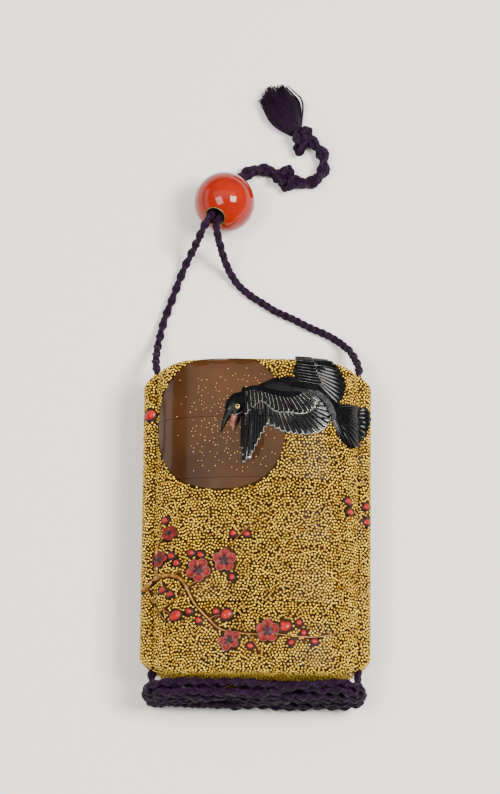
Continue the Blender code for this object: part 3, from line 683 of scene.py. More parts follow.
polish, start, end = new_group("uneven polish", [("Scale", FLOAT, 900), ("Smoothest", FLOAT, 0.15),
                                                 ("Roughest", FLOAT, 0.3), ("Depth", FLOAT, 0.2),
                                                 ("Height", FLOAT, 0.00002)],
                               [("Roughness", FLOAT), ("Normal", "NodeSocketVector")])
place = node(polish, "TexCoord")
noise = node(polish, "TexNoise", {"Detail": 2.0})
spread = node(polish, "MapRange", {"From Min": 0.3, "From Max": 0.7})
bump = node(polish, "Bump")
wire(polish, (place, "Object", noise, "Vector"), (start, "Scale", noise, "Scale"),
     (noise, "Fac", spread, "Value"), (start, "Smoothest", spread, "To Min"),
     (start, "Roughest", spread, "To Max"), (spread, "Result", end, "Roughness"),
     (noise, "Fac", bump, "Height"), (start, "Depth", bump, "Strength"),
     (start, "Height", bump, "Distance"), (bump, "Normal", end, "Normal"))
print("groups:", [group.name for group in bpy.data.node_groups])


# %% [markdown]
# A finish is then a Principled shader with those groups in front of it. Values that are the same all
# over, such as how metallic it is or how thick its clear coat, are set on the shader itself.

# %% A finish from the shared effects
UNEVENNESS = 0.00002


def finish(name, dark, light, scale=300, low=0.35, high=0.65, roughness=(0.2, 0.35), grain=900, depth=0.2,
           **settings):
    """A material whose tone and polish vary."""
    material = bpy.data.materials.new(name)
    material.use_nodes = True
    tree = material.node_tree
    shader = tree.nodes["Principled BSDF"]
    tone = node(tree, "Group", {"Scale": scale, "Dark": (*dark, 1), "Light": (*light, 1), "Low": low,
                                "High": high}, node_tree=patches)
    uneven = node(tree, "Group", {"Scale": grain, "Smoothest": roughness[0], "Roughest": roughness[1],
                                  "Depth": depth, "Height": UNEVENNESS}, node_tree=polish)
    wire(tree, (tone, "Color", shader, "Base Color"), (uneven, "Roughness", shader, "Roughness"),
         (uneven, "Normal", shader, "Normal"))
    for socket, value in settings.items():
        shader.inputs[socket.replace("_", " ")].default_value = value
    return material


lacquer_ground = finish("lacquer_ground", (0.012, 0.0046, 0.0004), (0.036, 0.014, 0.0007), scale=90,
                        roughness=(0.3, 0.45), Specular_IOR_Level=0.06)
moon_lacquer = finish("moon_lacquer", (0.026, 0.009, 0.0016), (0.056, 0.020, 0.004), scale=45, low=0.3,
                      high=0.7, roughness=(0.12, 0.18), grain=400, depth=0.05,
                      Specular_IOR_Level=0.3)
moon_dull = finish("moon_dull", (0.026, 0.009, 0.0016), (0.056, 0.020, 0.004), scale=45, low=0.3, high=0.7,
                   roughness=(0.5, 0.6), Specular_IOR_Level=0.04)
gold = finish("sprinkled_gold", (0.36, 0.162, 0.006), (1.0, 0.68, 0.08), scale=520, low=0.3, high=0.6,
              roughness=(0.28, 0.42), grain=2500, depth=0.3, Metallic=0.75)
for wall in walls.values():
    wall.data.materials.append(lacquer_ground)
print("finishes so far:", [made.name for made in (lacquer_ground, moon_lacquer, moon_dull, gold)])

# %% [markdown]
# ## The moon
#
# The moon is a disc of plain polished lacquer, a tenth of a millimetre proud of the dots' ground. A
# circle is inset again and again, so that it has rings of faces that can bend with the form, and is
# then given its thickness. Its outline is a little fuller than a circle.

# %% Inlay the moon
MOON_CENTRE = Vector((-0.0099, 0.0264))
MOON_RADII = Vector((0.0176, 0.0191))
MOON_FULLNESS = 2.4
SINK = -0.0003


def start_piece(name, *materials):
    """Names the new active object, puts its place in its mesh and gives it its materials."""
    piece = bpy.context.view_layer.objects.active
    pick(piece)
    bpy.ops.object.transform_apply(location=True, rotation=True, scale=True)
    piece.name = name
    piece.data.name = name
    for material in materials:
        piece.data.materials.append(material)
    return piece


def flat_disc(centre, radius, corners, rings, low, high, materials=()):
    """A flat disc in concentric rings, as a closed solid between two heights."""
    bpy.ops.object.select_all(action="DESELECT")
    bpy.ops.mesh.primitive_circle_add(vertices=corners, radius=radius, fill_type="NGON",
                                      location=(centre[0], centre[1], low))
    piece = start_piece("disc", *materials)
    start_edit(piece)
    bpy.ops.mesh.extrude_region_move(TRANSFORM_OT_translate={"value": (0, 0, high - low)})
    for _ in range(rings):
        bpy.ops.mesh.inset(thickness=radius / (rings + 1), use_even_offset=True)
    finish_edit()
    return piece


def moon_reach(x, y):
    """How far a place is from the moon's middle, as a share of the way to its edge."""
    across, along = abs(x - MOON_CENTRE.x) / MOON_RADII.x, abs(y - MOON_CENTRE.y) / MOON_RADII.y
    return (across ** MOON_FULLNESS + along ** MOON_FULLNESS) ** (1 / MOON_FULLNESS)


moon = flat_disc(MOON_CENTRE, MOON_RADII.x, 128, 14, SINK, 0.00010, [moon_lacquer])
for vertex in moon.data.vertices:
    away = vertex.co.xy - MOON_CENTRE
    if away.length > 1e-5:
        vertex.co.xy = MOON_CENTRE + away * (away.length / MOON_RADII.x) / moon_reach(*vertex.co.xy)
share_out([lay_on_front(moon)], "moon")

# %% [markdown]
# ## The plum branch
#
# The branch is painted in gold over a low ridge. It is drawn as a curve whose points have their own
# thickness, made a mesh, pressed flat, and laid on the form.

# %% Branch and twigs
branch_gold = finish("branch_gold", (0.12, 0.042, 0.005), (0.36, 0.17, 0.03), scale=700,
                     roughness=(0.3, 0.45), Metallic=0.5)
BRANCH = [(-31.1, -19.8), (-29.6, -18.2), (-27.4, -16.9), (-24.5, -16.5), (-21.0, -17.7), (-19.0, -20.5),
          (-17.4, -24.0), (-15.3, -26.9), (-12.7, -29.7), (-10.4, -32.0), (-8.0, -33.0), (-3.9, -33.7),
          (0.0, -33.9)]
BRANCH_WIDTHS = [1.4, 1.35, 1.25, 1.15, 1.0, 0.85, 0.75, 0.7, 0.66, 0.62, 0.6, 0.58, 0.56]
TWIG_WIDTHS = [0.42, 0.36, 0.28]
TWIGS = [[(-29.9, -19.6), (-28.4, -23.4), (-26.6, -26.6), (-24.6, -29.6)],
         [(-19.1, -20.8), (-21.4, -23.2), (-24.3, -25.0), (-27.0, -27.2)],
         [(-19.0, -20.5), (-17.4, -19.4), (-15.8, -18.6)],
         [(-12.7, -29.7), (-11.4, -28.9), (-9.8, -28.6)],
         [(0.0, -33.9), (5.8, -33.8), (11.0, -34.3), (17.0, -34.1), (22.0, -32.8)],
         [(-2.2, -33.9), (-0.4, -36.0), (1.2, -38.6)],
         [(-0.9, -2.1), (-4.0, -5.4), (-7.4, -9.2)],
         [(28.0, 3.0), (29.4, 3.2), (30.9, 2.7)],
         [(-27.0, -16.9), (-27.4, -14.0), (-26.9, -12.0)],
         [(-24.0, -16.6), (-20.5, -15.9), (-17.5, -15.8)],
         [(-25.4, -25.9), (-23.4, -27.6)],
         [(-27.3, -12.4), (-27.6, -9.6), (-27.0, -7.0), (-25.2, -5.6)],
         [(-28.0, -21.4), (-26.0, -20.6)]]


def drawn_strip(name, route, widths, height, material):
    """A low rounded ridge along a flat route in millimetres, laid on the front."""
    points, _ = smooth_route([Vector((*point, 0)) * MM for point in route], 0.0007)

    def width(share):
        place = share * (len(widths) - 1)
        low = min(int(place), len(widths) - 2)
        return widths[low] + (widths[low + 1] - widths[low]) * (place - low)

    piece = tubes(name, [points], 0.0005, 1, width)
    pick(piece)
    bpy.ops.transform.resize(value=(1, 1, height / 0.0005))
    bpy.ops.object.transform_apply(location=False, rotation=False, scale=True)
    piece.data.materials.append(material)
    return lay_on_front(piece)


plum = [drawn_strip("branch", BRANCH, BRANCH_WIDTHS, 0.0006, branch_gold)]
for twig in TWIGS:
    plum.append(drawn_strip("twig", twig, TWIG_WIDTHS, 0.0011, branch_gold))
print("branch and twigs:", sum(triangles(piece) for piece in plum), "triangles")

# %% [markdown]
# ## Blossoms and buds
#
# A plum blossom has five round petals. One petal is modelled once: a flat disc, raised, its rim beveled
# and its middle pressed in, as the lacquer is. Its copies are set round a centre, and a small domed
# centre and a ring of fine stamens go on top.

# %% Petal, heart and bud
petal_red = finish("petal_red", (0.085, 0.009, 0.008), (0.24, 0.013, 0.009), scale=900,
                   roughness=(0.25, 0.38), Specular_IOR_Level=0.12)
petal_rim = finish("petal_rim", (0.080, 0.013, 0.011), (0.19, 0.038, 0.032), scale=900,
                   roughness=(0.3, 0.4), Metallic=0.25)
heart_grey = finish("heart_grey", (0.010, 0.005, 0.007), (0.045, 0.018, 0.024), scale=1500,
                    roughness=(0.3, 0.45), Specular_IOR_Level=0.12)
bud_red = finish("bud_red", (0.24, 0.008, 0.003), (0.42, 0.014, 0.004), scale=700,
                 roughness=(0.22, 0.32), Specular_IOR_Level=0.2)


def model_petal():
    """One petal, 1 long and 1 wide, with a raised rim and a hollow middle."""
    bpy.ops.object.select_all(action="DESELECT")
    bpy.ops.mesh.primitive_circle_add(vertices=14, radius=0.5, fill_type="NGON")
    petal = start_piece("petal", petal_red, petal_rim)
    start_edit(petal)
    bpy.ops.mesh.extrude_region_move(TRANSFORM_OT_translate={"value": (0, 0, 1.0)})
    bpy.ops.mesh.inset(thickness=0.07)
    bpy.ops.object.mode_set(mode="OBJECT")
    for face in petal.data.polygons:
        face.material_index = int(len(face.vertices) == 4)
    bpy.ops.object.mode_set(mode="EDIT")
    bpy.ops.mesh.inset(thickness=0.06)
    bpy.ops.transform.translate(value=(0, 0, -0.16))
    bpy.ops.mesh.inset(thickness=0.16)
    bpy.ops.transform.translate(value=(0, 0, -0.06))
    finish_edit()
    return petal


def model_dome(name, corners, *materials):
    """A low dome on a short wall, 1 across and 1 high."""
    bpy.ops.object.select_all(action="DESELECT")
    bpy.ops.mesh.primitive_circle_add(vertices=corners, radius=0.5, fill_type="NGON")
    dome = start_piece(name, *materials)
    start_edit(dome)
    bpy.ops.mesh.extrude_region_move(TRANSFORM_OT_translate={"value": (0, 0, 0.55)})
    for rise_by, inset_by in ((0.25, 0.10), (0.14, 0.14), (0.06, 0.14)):
        bpy.ops.mesh.inset(thickness=inset_by)
        bpy.ops.transform.translate(value=(0, 0, rise_by))
    finish_edit()
    return dome


petal_model = model_petal()
dome_model = model_dome("bud", 12, bud_red)
heart_model = model_dome("heart", 12, heart_grey)
stamen_model = model_dome("stamen", 6, petal_rim)
print("petal and bud:", triangles(petal_model), "and", triangles(dome_model), "triangles")

# %% [markdown]
# A model is set by its own width, length, turn and height, drawn flat first and then laid on the front.
# A blossom is five petals, then a broad and a small heart, and fifteen stamens with their heads.

# %% A blossom from its models
STAMENS = 15


def set_flat(model, centre, size, angle, low, high):
    """A copy of a unit model, drawn flat at a place in millimetres and then laid on the front."""
    piece = bpy.data.objects.new(model.name, model.data.copy())
    bpy.context.collection.objects.link(piece)
    spin = Matrix.Rotation(angle, 2)
    for vertex in piece.data.vertices:
        flat = spin @ Vector((vertex.co.x * size[0], vertex.co.y * size[1]))
        height = low + (high - low) * vertex.co.z
        vertex.co = Vector(((centre[0] + flat.x) * MM, (centre[1] + flat.y) * MM, height))
    return lay_on_front(piece)


def blossom(centre, radius, angle, squeeze=1.0, lean=0.0):
    """Five petals, a heart and its stamens; squeezed along one way it is seen from the side."""
    made = []
    lean_turn = Matrix.Rotation(lean, 2)
    for petal in range(5):
        way = angle + 2 * math.pi * petal / 5
        offset = lean_turn @ Vector((math.cos(way) * radius * 0.60, math.sin(way) * radius * 0.60 * squeeze))
        size = (radius * 0.92, radius * 0.92 * (0.6 + 0.4 * squeeze))
        spot = Vector(centre) + offset
        made.append(set_flat(petal_model, spot, size, way + lean, SINK, 0.00060 - 0.00002 * petal))
    for share, top in ((1.12, 0.00066), (0.34, 0.00080)):
        size = (radius * share, radius * share * (0.4 + 0.6 * squeeze))
        made.append(set_flat(heart_model, centre, size, lean, SINK, top))
    for stamen in range(STAMENS):
        way = angle + 2 * math.pi * stamen / STAMENS
        reach = lean_turn @ Vector((math.cos(way), math.sin(way) * squeeze))
        for share, size in ((0.36, (0.6, 0.15)), (0.60, (0.28, 0.26))):
            spot = Vector(centre) + reach * radius * share
            made.append(set_flat(stamen_model, spot, size, way + lean, 0.0002, 0.00074))
    return made


print("a blossom is made of", 5 + 2 + 2 * STAMENS, "small solids")


# %% [markdown]
# The blossoms and buds are placed along the branch: open ones near it, a half-closed one seen from the
# side, and buds at the twigs' ends, each in a thin dark cup. A blossom has its place, its radius, how
# squeezed it is and along which way, and the radius round it that the gold dots keep free.

# %% Place the blossoms and buds
BLOSSOMS = [((-8.7, -13.1), 3.15, 1.0, 0.0, 3.5), ((-15.8, -15.7), 3.2, 1.0, 0.3, 3.5),
            ((-7.1, -35.6), 3.2, 0.62, 0.75, 2.9), ((3.3, -32.9), 3.15, 1.0, 0.1, 3.5),
            ((-26.8, -11.6), 2.3, 0.8, 0.6, 2.3), ((-23.9, -4.6), 2.1, 0.9, 0.0, 2.2)]
BUDS = [(-17.9, -10.8), (-15.4, -11.4), (-6.6, -17.9), (-25.7, -20.4), (-23.6, -21.9), (-18.3, -27.2),
        (-15.6, -29.9), (-10.9, -27.5), (-8.2, -27.8), (-1.4, -37.2), (-21.9, -13.3), (-25.3, -0.8),
        (-6.4, -5.5), (-2.7, -5.7), (7.6, -31.0), (11.9, -30.4), (9.8, -36.0), (16.2, -35.4),
        (25.3, 5.2), (25.9, 2.2), (30.5, 4.8), (30.6, 0.4), (-23.4, -11.2), (13.2, -33.2)]
LARGE_BUDS = [(-22.0, -28.1), (-30.0, 30.5), (-8.0, -28.4), (8.2, -31.6)]
for index, (spot, radius, squeeze, lean, _) in enumerate(BLOSSOMS):
    plum += blossom(spot, radius, 0.4 * index + 0.3, squeeze, lean)
for index, spot in enumerate(BUDS):
    way = 2.4 * index
    plum.append(set_flat(heart_model, spot, (2.4, 2.2), way, SINK, 0.00048))
    plum.append(set_flat(dome_model, spot, (1.8, 1.6), way, SINK, 0.00066))
for spot in LARGE_BUDS:
    plum.append(set_flat(heart_model, spot, (4.0, 3.1), 0.6, SINK, 0.00048))
    plum.append(set_flat(dome_model, spot, (3.3, 2.5), 0.6, SINK, 0.00070))
print("plum:", len(plum), "small solids")
share_out(plum, "plum")

# %% [markdown]
# ## The bird
#
# A dark bird dives to the left over the moon. Its wings and tail are fans of single feathers. One
# feather is modelled once, from a grid that is narrowed row by row, raised along its shaft and given a
# silver edge; each copy is stretched from its own root to its own tip. The far wing and the tail have
# no silver at their tips.

# %% Model one feather
feather_black = finish("feather_black", (0.0008, 0.0008, 0.0011), (0.004, 0.004, 0.005), scale=900,
                       roughness=(0.14, 0.24), grain=2200, depth=0.4, Specular_IOR_Level=0.15)
silver_line = finish("silver_line", (0.06, 0.06, 0.06), (0.32, 0.32, 0.31), scale=1200,
                     roughness=(0.3, 0.42), Metallic=0.7)
SHAFT_RISE = 0.28
FEATHER_ROWS = [0.55, 0.70, 0.82, 0.92, 0.98, 1.0, 0.97, 0.80, 0.42]


def model_feather():
    """A feather from y 0 to 1, one wide, with a raised shaft and a silver line at one edge and the tip."""
    bpy.ops.object.select_all(action="DESELECT")
    bpy.ops.mesh.primitive_grid_add(x_subdivisions=6, y_subdivisions=8, size=1, location=(0, 0.5, 0))
    feather = start_piece("feather", feather_black, silver_line)
    for face in feather.data.polygons:
        face.material_index = int(face.center.x > 0.33 or face.center.y > 0.88)
    for vertex in feather.data.vertices:
        row = round(vertex.co.y * 8)
        if abs(vertex.co.x - 1 / 3) < 0.01:
            vertex.co.x = 0.42
        shaft = abs(vertex.co.x) < 0.2
        vertex.co = (vertex.co.x * FEATHER_ROWS[row], 1 - (1 - row / 8) ** 1.6, SHAFT_RISE * shaft)
    start_edit(feather)
    bpy.ops.mesh.extrude_region_move(TRANSFORM_OT_translate={"value": (0, 0, 1)})
    finish_edit()
    return feather


feather_model = model_feather()
print("feather:", triangles(feather_model), "triangles")


# %% [markdown]
# The feathers of a fan overlap like tiles: each one's silver edge lies over the next, and its other
# edge is tucked under the one before. Roots and tips are read off two rows of points, and a feather is
# a little wider than the step to its neighbour.

# %% A fan of feathers
TILT = 0.16
BARE_TIP_START = 0.72


def feather(root, tip, width, low, high, flip, silver, bare_tip):
    """A feather from root to tip, in millimetres, its lower face sunk and its top at high."""
    root, tip = Vector(root), Vector(tip)
    along = tip - root
    across = Vector((along.y, -along.x)).normalized() * width * flip
    piece = bpy.data.objects.new("feather", feather_model.data.copy())
    bpy.context.collection.objects.link(piece)
    for vertex in piece.data.vertices:
        flat = root + along * vertex.co.y + across * vertex.co.x
        height = low + (high - low) * (vertex.co.z + TILT * vertex.co.x) / (1 + SHAFT_RISE)
        vertex.co = Vector((flat.x * MM, flat.y * MM, height))
    if flip < 0:
        piece.data.flip_normals()
    for face, model_face in zip(piece.data.polygons, feather_model.data.polygons):
        if not silver or bare_tip and model_face.center.y > BARE_TIP_START:
            face.material_index = 0
    return lay_on_front(piece)


def row_of(points, count):
    """Evenly spaced points along a row of chosen points."""
    points = [Vector(point) for point in points]
    lengths = [0]
    for first, second in zip(points, points[1:]):
        lengths.append(lengths[-1] + (second - first).length)
    made = []
    for number in range(count):
        target = lengths[-1] * number / (count - 1)
        index = max(i for i in range(len(points) - 1) if lengths[i] <= target + 1e-9)
        share = (target - lengths[index]) / (lengths[index + 1] - lengths[index])
        made.append(points[index].lerp(points[index + 1], min(share, 1)))
    return made


def fan(roots, tips, count, high, overlap=1.35, silver=None, bare_tip=False):
    """Feathers from one row of roots to one row of tips, the first few (or all) with silver edges."""
    made = []
    roots, tips = row_of(roots, count), row_of(tips, count)
    along, onward = tips[0] - roots[0], tips[1] - tips[0]
    flip = 1 if along.y * onward.x - along.x * onward.y > 0 else -1
    for index in range(count):
        before, after = max(index - 1, 0), min(index + 1, count - 1)
        onward = (tips[after] - tips[before]) / (after - before)
        along = (tips[index] - roots[index]).normalized()
        width = abs(onward.x * along.y - onward.y * along.x) * overlap
        lined = silver is None or index < silver
        made.append(feather(roots[index], tips[index], max(width, 0.8), SINK, high - 0.00001 * index, flip,
                            lined, bare_tip))
    return made


print("a feather lies", round(math.degrees(math.atan(TILT))), "degrees askew on its neighbour")

# %% [markdown]
# The fans are set from the back to the front: the far wing, the tail, the near wing's inner feathers,
# its long ones, and the short feathers that cover the roots of both wings.

# %% Set the wings and the tail
COVERT_TIPS = [(-3.2, 28.2), (-2.2, 29.5), (-0.9, 30.4), (0.2, 32.0), (1.7, 31.8), (3.4, 30.4), (4.7, 29.3),
               (6.9, 28.9), (9.0, 29.1), (11.2, 28.7), (13.4, 29.1), (15.5, 30.4), (15.9, 32.2)]
bird = fan([(13.8, 45.2), (15.0, 41.6), (16.8, 38.0)],
           [(19.8, 45.4), (22.4, 42.7), (23.9, 40.4), (24.3, 38.0), (23.9, 35.3), (22.6, 33.1)], 11, 0.00078,
           1.45, bare_tip=True)
bird += fan([(20.8, 27.6), (21.9, 29.6), (22.8, 31.6)],
            [(24.3, 21.6), (26.3, 20.4), (28.2, 22.2), (29.8, 24.8), (30.8, 27.2), (31.4, 29.8), (31.2, 32.0),
             (28.6, 33.0)], 13, 0.00080, 1.5, 4, True)
bird += fan([(17.2, 33.2), (16.2, 32.0), (15.0, 30.4), (12.6, 29.6), (9.0, 29.8), (5.4, 30.0), (2.4, 31.6)],
            [(17.0, 33.8), (18.9, 31.6), (19.9, 29.6), (20.1, 27.6), (19.3, 25.7), (17.6, 24.2),
             (15.4, 23.3), (12.5, 22.9), (9.5, 23.1), (6.9, 23.7), (4.6, 24.9), (2.6, 25.6)], 17, 0.00082,
            1.3)
bird += fan([(-3.4, 28.6), (-2.4, 29.6), (-1.4, 30.6), (0.2, 31.8), (1.8, 31.8)],
            [(-4.1, 18.4), (-3.7, 14.3), (-2.6, 15.2), (-1.6, 16.9), (-0.4, 19.6), (0.8, 22.2), (1.9, 24.6)],
            9, 0.00092, 1.7)
bird += fan([(-3.4, 35.4), (-0.5, 35.8), (2.6, 34.8), (5.6, 34.0), (8.4, 33.6), (11.0, 34.0), (13.2, 34.6)],
            COVERT_TIPS, 18, 0.00112, 1.3)
bird += fan([(10.4, 45.2), (11.4, 38.6)], [(15.2, 45.2), (15.9, 42.9), (16.6, 40.6), (17.8, 38.2)], 9,
            0.00100, 1.4)
print("bird:", len(bird), "feathers")

# %% [markdown]
# The back, the neck and the head are smooth low mounds, so they are drawn as thick tapered curves and
# pressed down. The beak is two tapered points with a red mouth between them, and the eye a yellow dome
# with a dark pupil. A thin silver line runs along the tips of the short feathers.

# %% Body, head, beak and eye
plumage_grey = finish("plumage_grey", (0.002, 0.002, 0.003), (0.030, 0.031, 0.034), scale=1100, low=0.4,
                      high=0.62, roughness=(0.35, 0.5), grain=2600, depth=0.6, Specular_IOR_Level=0.15)
head_black = finish("head_black", (0.0010, 0.0010, 0.0016), (0.0030, 0.0030, 0.0045), scale=500,
                    roughness=(0.10, 0.18), depth=0.15, Specular_IOR_Level=0.05)
mouth_red = finish("mouth_red", (0.13, 0.035, 0.02), (0.24, 0.08, 0.05), roughness=(0.3, 0.4))
eye_yellow = finish("eye_yellow", (0.62, 0.42, 0.06), (0.80, 0.62, 0.16), roughness=(0.15, 0.25),
                    Coat_Weight=0.8)
MOUNDS = [("back", [(5.2, 36.1), (8.8, 36.9), (12.0, 37.1), (14.8, 36.7), (17.3, 35.5), (19.6, 33.5),
                    (21.6, 31.2), (22.4, 29.4)],
           [0.6, 2.2, 2.9, 3.0, 3.0, 3.0, 2.6, 1.8], 0.00040, head_black),
          ("grey_back", [(12.0, 36.2), (13.8, 36.0), (16.3, 35.0), (18.4, 33.3), (20.0, 31.0),
                         (21.0, 28.8), (21.0, 27.2)], [0.6, 2.2, 2.8, 3.2, 3.2, 2.6, 1.2], 0.00046,
           plumage_grey),
          ("wrist", [(-3.0, 35.5), (-1.2, 35.9), (1.0, 35.6), (3.6, 34.9), (6.4, 34.3), (9.4, 34.3),
                     (12.2, 35.0)], [1.6, 2.1, 2.1, 2.2, 2.3, 2.3, 1.2], 0.00062, head_black),
          ("leading_edge", [(-3.2, 35.6), (-3.7, 32.2), (-4.1, 28.6), (-4.3, 24.6), (-4.5, 19.0)],
           [0.8, 0.8, 0.75, 0.6, 0.3], 0.0014, head_black),
          ("head", [(-2.8, 33.0), (-4.5, 32.3), (-5.7, 31.0), (-6.5, 29.4), (-7.0, 28.0)],
           [4.2, 5.2, 5.0, 3.8, 2.2], 0.00026, head_black),
          ("upper_beak", [(-7.4, 29.4), (-8.8, 27.0), (-10.1, 23.2)], [2.2, 1.4, 0.2], 0.0006, head_black),
          ("lower_beak", [(-4.9, 28.8), (-5.4, 26.6), (-6.5, 23.3)], [1.3, 0.95, 0.12], 0.0005, head_black),
          ("mouth", [(-6.4, 28.6), (-6.9, 26.8), (-7.4, 25.2)], [2.2, 1.5, 0.5], 0.00032, mouth_red),
          ("gape", [(-8.0, 28.3), (-6.4, 28.0), (-4.7, 28.8)], [0.18, 0.2, 0.18], 0.0044, silver_line),
          ("covert_line", COVERT_TIPS + [(15.2, 33.6)], [0.26, 0.2, 0.3, 0.22, 0.3, 0.2, 0.26], 0.0038,
           silver_line)]
for name, route, widths, height, material in MOUNDS:
    bird.append(drawn_strip(name, route, widths, height, material))
eye_model = model_dome("eye", 16, eye_yellow)
pupil_model = model_dome("pupil", 12, head_black)
bird.append(set_flat(eye_model, (-5.5, 30.5), (1.4, 1.4), 0, 0, 0.00150))
bird.append(set_flat(pupil_model, (-5.5, 30.5), (0.62, 0.62), 0, 0.0012, 0.00195))
for model in (eye_model, pupil_model, heart_model, stamen_model, dome_model, petal_model, feather_model):
    bpy.data.objects.remove(model)
share_out(bird, "bird")
print("mounds:", [mound[0] for mound in MOUNDS])

# %% [markdown]
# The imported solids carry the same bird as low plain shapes. Their raised faces turn black there, so
# that nothing brown shows between the feathers that lie over them. Inside the open beak they are red,
# and below the long wing feathers, where the plain shape reaches past them, they take the moon's
# colour without its gloss.

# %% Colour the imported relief
def height_over_form(point):
    """How far a point of the front stands off the plain form."""
    x = min(max(point.x, -OUTER_EDGE + 0.0001), OUTER_EDGE - 0.0001)
    edge = HALF_LENGTH - EDGE_ROLL - shoulder(x)
    place, out = surface(x, min(max(point.y, -edge), edge))
    if abs(point.y) <= edge:
        return (point - place).dot(out)
    centre = place - out * EDGE_ROLL
    return (point - centre).length - EDGE_ROLL if point.z > centre.z else 0


for wall in walls.values():
    wall.data.materials.append(feather_black)
    wall.data.materials.append(moon_dull)
    wall.data.materials.append(mouth_red)
    raised = 0
    for face in wall.data.polygons:
        on_bird = face.center.y > 0.013 and face.center.x > -0.0115 and face.center.z > MIDDLE_HEIGHT
        if on_bird and height_over_form(face.center) > 0.00013:
            x, y = face.center.x / MM, face.center.y / MM
            past_wing = x > -1.6 + (y - 16.1) * 0.479 and y < 23.5 and x < 3
            in_beak = -7.9 < x < -4.5 and y < 27.7
            face.material_index = 2 if past_wing else 3 if in_beak else 1
            raised += 1
    print(wall.name, raised, "raised faces")

# %% [markdown]
# ## Gold dots
#
# The ground is covered with small flat grains of gold set close together in dark lacquer. There are
# about eighteen thousand, so one grain has only twenty faces. They are spread as grains spread: started
# on a loose net, shaken, and then pushed apart until each has room.

# %% Spread points evenly but not in rows
GRAIN_SPACING = 0.00093
SHAKE = 0.45 * GRAIN_SPACING
PUSHES, PUSH_SHARE = 3, 0.28


def spread_points(low, high, inside, seed):
    """Evenly spread points in a rectangle, kept where inside says so."""
    shake = random.Random(seed)
    rows = int((high[1] - low[1]) / (GRAIN_SPACING * 0.866))
    columns = int((high[0] - low[0]) / GRAIN_SPACING)
    points = []
    for row in range(rows + 1):
        for column in range(columns + 1):
            x = low[0] + (column + 0.5 * (row % 2)) * GRAIN_SPACING + shake.uniform(-SHAKE, SHAKE)
            y = low[1] + row * GRAIN_SPACING * 0.866 + shake.uniform(-SHAKE, SHAKE)
            points.append((x, y))
    points = np.array(points)
    for _ in range(PUSHES):
        tree = KDTree(len(points))
        for index, (x, y) in enumerate(points):
            tree.insert((x, y, 0), index)
        tree.balance()
        moved = points.copy()
        for index, (x, y) in enumerate(points):
            for near, other, distance in tree.find_n((x, y, 0), 6):
                if other != index and 1e-9 < distance < GRAIN_SPACING:
                    push = PUSH_SHARE * (GRAIN_SPACING - distance) / distance
                    moved[index] += push * (points[index] - points[other])
        points = moved
    return [(x, y) for x, y in points if inside(x, y)]


small_sheet = spread_points((0, 0), (0.01, 0.01), lambda x, y: True, 5)
print("about", len(small_sheet), "grains on a square centimetre")


# %% [markdown]
# The form is unrolled into a flat sheet: one side is the distance along the section's curve, the other
# the distance along the inro. So the grains keep their spacing where the sides fall away steeply.

# %% Unroll the section
def unroll():
    """Distances along the front's curve, and the x that belongs to each."""
    xs, distances = [0.0], [0.0]
    steps = 900
    for step in range(1, steps + 1):
        x = OUTER_EDGE * math.sin(math.pi / 2 * step / steps)
        gap = math.hypot(x - xs[-1], front_height(x) - front_height(xs[-1]))
        xs.append(x)
        distances.append(distances[-1] + gap)
    return np.array(distances), np.array(xs)


CURVE_DISTANCES, CURVE_X = unroll()
HALF_GIRTH = float(CURVE_DISTANCES[-1])
print("half the front's curve:", round(HALF_GIRTH * 1000, 1), "mm")


def across_at(distance):
    return math.copysign(float(np.interp(abs(distance), CURVE_DISTANCES, CURVE_X)), distance)


# %% [markdown]
# No grain lies on the moon, the blossoms or the branch. The ornament's outlines are kept as circles
# and as lines with a width, and a grain near one of them is left out.

# %% Keep the grains off the ornament
BUD_CLEARING, LARGE_BUD_CLEARING, BRANCH_CLEARING, TWIG_CLEARING = 1.35, 1.95, 0.75, 0.34
CLEAR_DISCS = [(spot, clearing) for spot, _, _, _, clearing in BLOSSOMS]
CLEAR_DISCS += [(spot, BUD_CLEARING) for spot in BUDS]
CLEAR_DISCS += [(spot, LARGE_BUD_CLEARING) for spot in LARGE_BUDS]
CLEAR_LINES = [(BRANCH, BRANCH_CLEARING)] + [(twig, TWIG_CLEARING) for twig in TWIGS]


def distance_to_line(point, line):
    best = 1e9
    for first, second in zip(line, line[1:]):
        first, second = Vector(first), Vector(second)
        way = second - first
        share = min(max((point - first).dot(way) / way.length_squared, 0), 1)
        best = min(best, (point - first - way * share).length)
    return best


def clear_of_ornament(x, run):
    y = run + PICTURE_DROP
    if moon_reach(x, y) < 1.015:
        return False
    point = Vector((x, y)) / MM
    for centre, radius in CLEAR_DISCS:
        if (point - Vector(centre)).length < radius:
            return False
    if point.y < 4:
        return all(distance_to_line(point, line) > width for line, width in CLEAR_LINES)
    return True


SEAM_MARGIN = 0.00030
HOLE_PLACE, HOLE_CLEARING = 0.0284, 0.0019


def beside_seam(y):
    """A place along Y moved off a seam, onto the side that it lies on."""
    for seam in SEAMS:
        if abs(y - seam) < SEAM_MARGIN:
            return seam + math.copysign(SEAM_MARGIN, y - seam)
    return y


def clear_of_holes(place):
    """Off the mouths of the cord's channels."""
    return math.hypot(abs(place.x) - HOLE_PLACE, place.z - MIDDLE_HEIGHT) > HOLE_CLEARING


print(len(CLEAR_DISCS), "discs and", len(CLEAR_LINES), "lines stay free of grains")


# %% [markdown]
# A grain is an icosphere, pressed flat. Every copy has its own size, length and turn, and half of it is
# sunk in the lacquer. Grains that would lie on a seam line its two sides instead, which hides it.

# %% A grain and its copies
bpy.ops.object.select_all(action="DESELECT")
bpy.ops.mesh.primitive_ico_sphere_add(subdivisions=1, radius=1)
grain_model = start_piece("grain")
GRAIN_POINTS = np.array([vertex.co[:] for vertex in grain_model.data.vertices])
GRAIN_FACES = np.array([face.vertices[:] for face in grain_model.data.polygons])
bpy.data.objects.remove(grain_model)


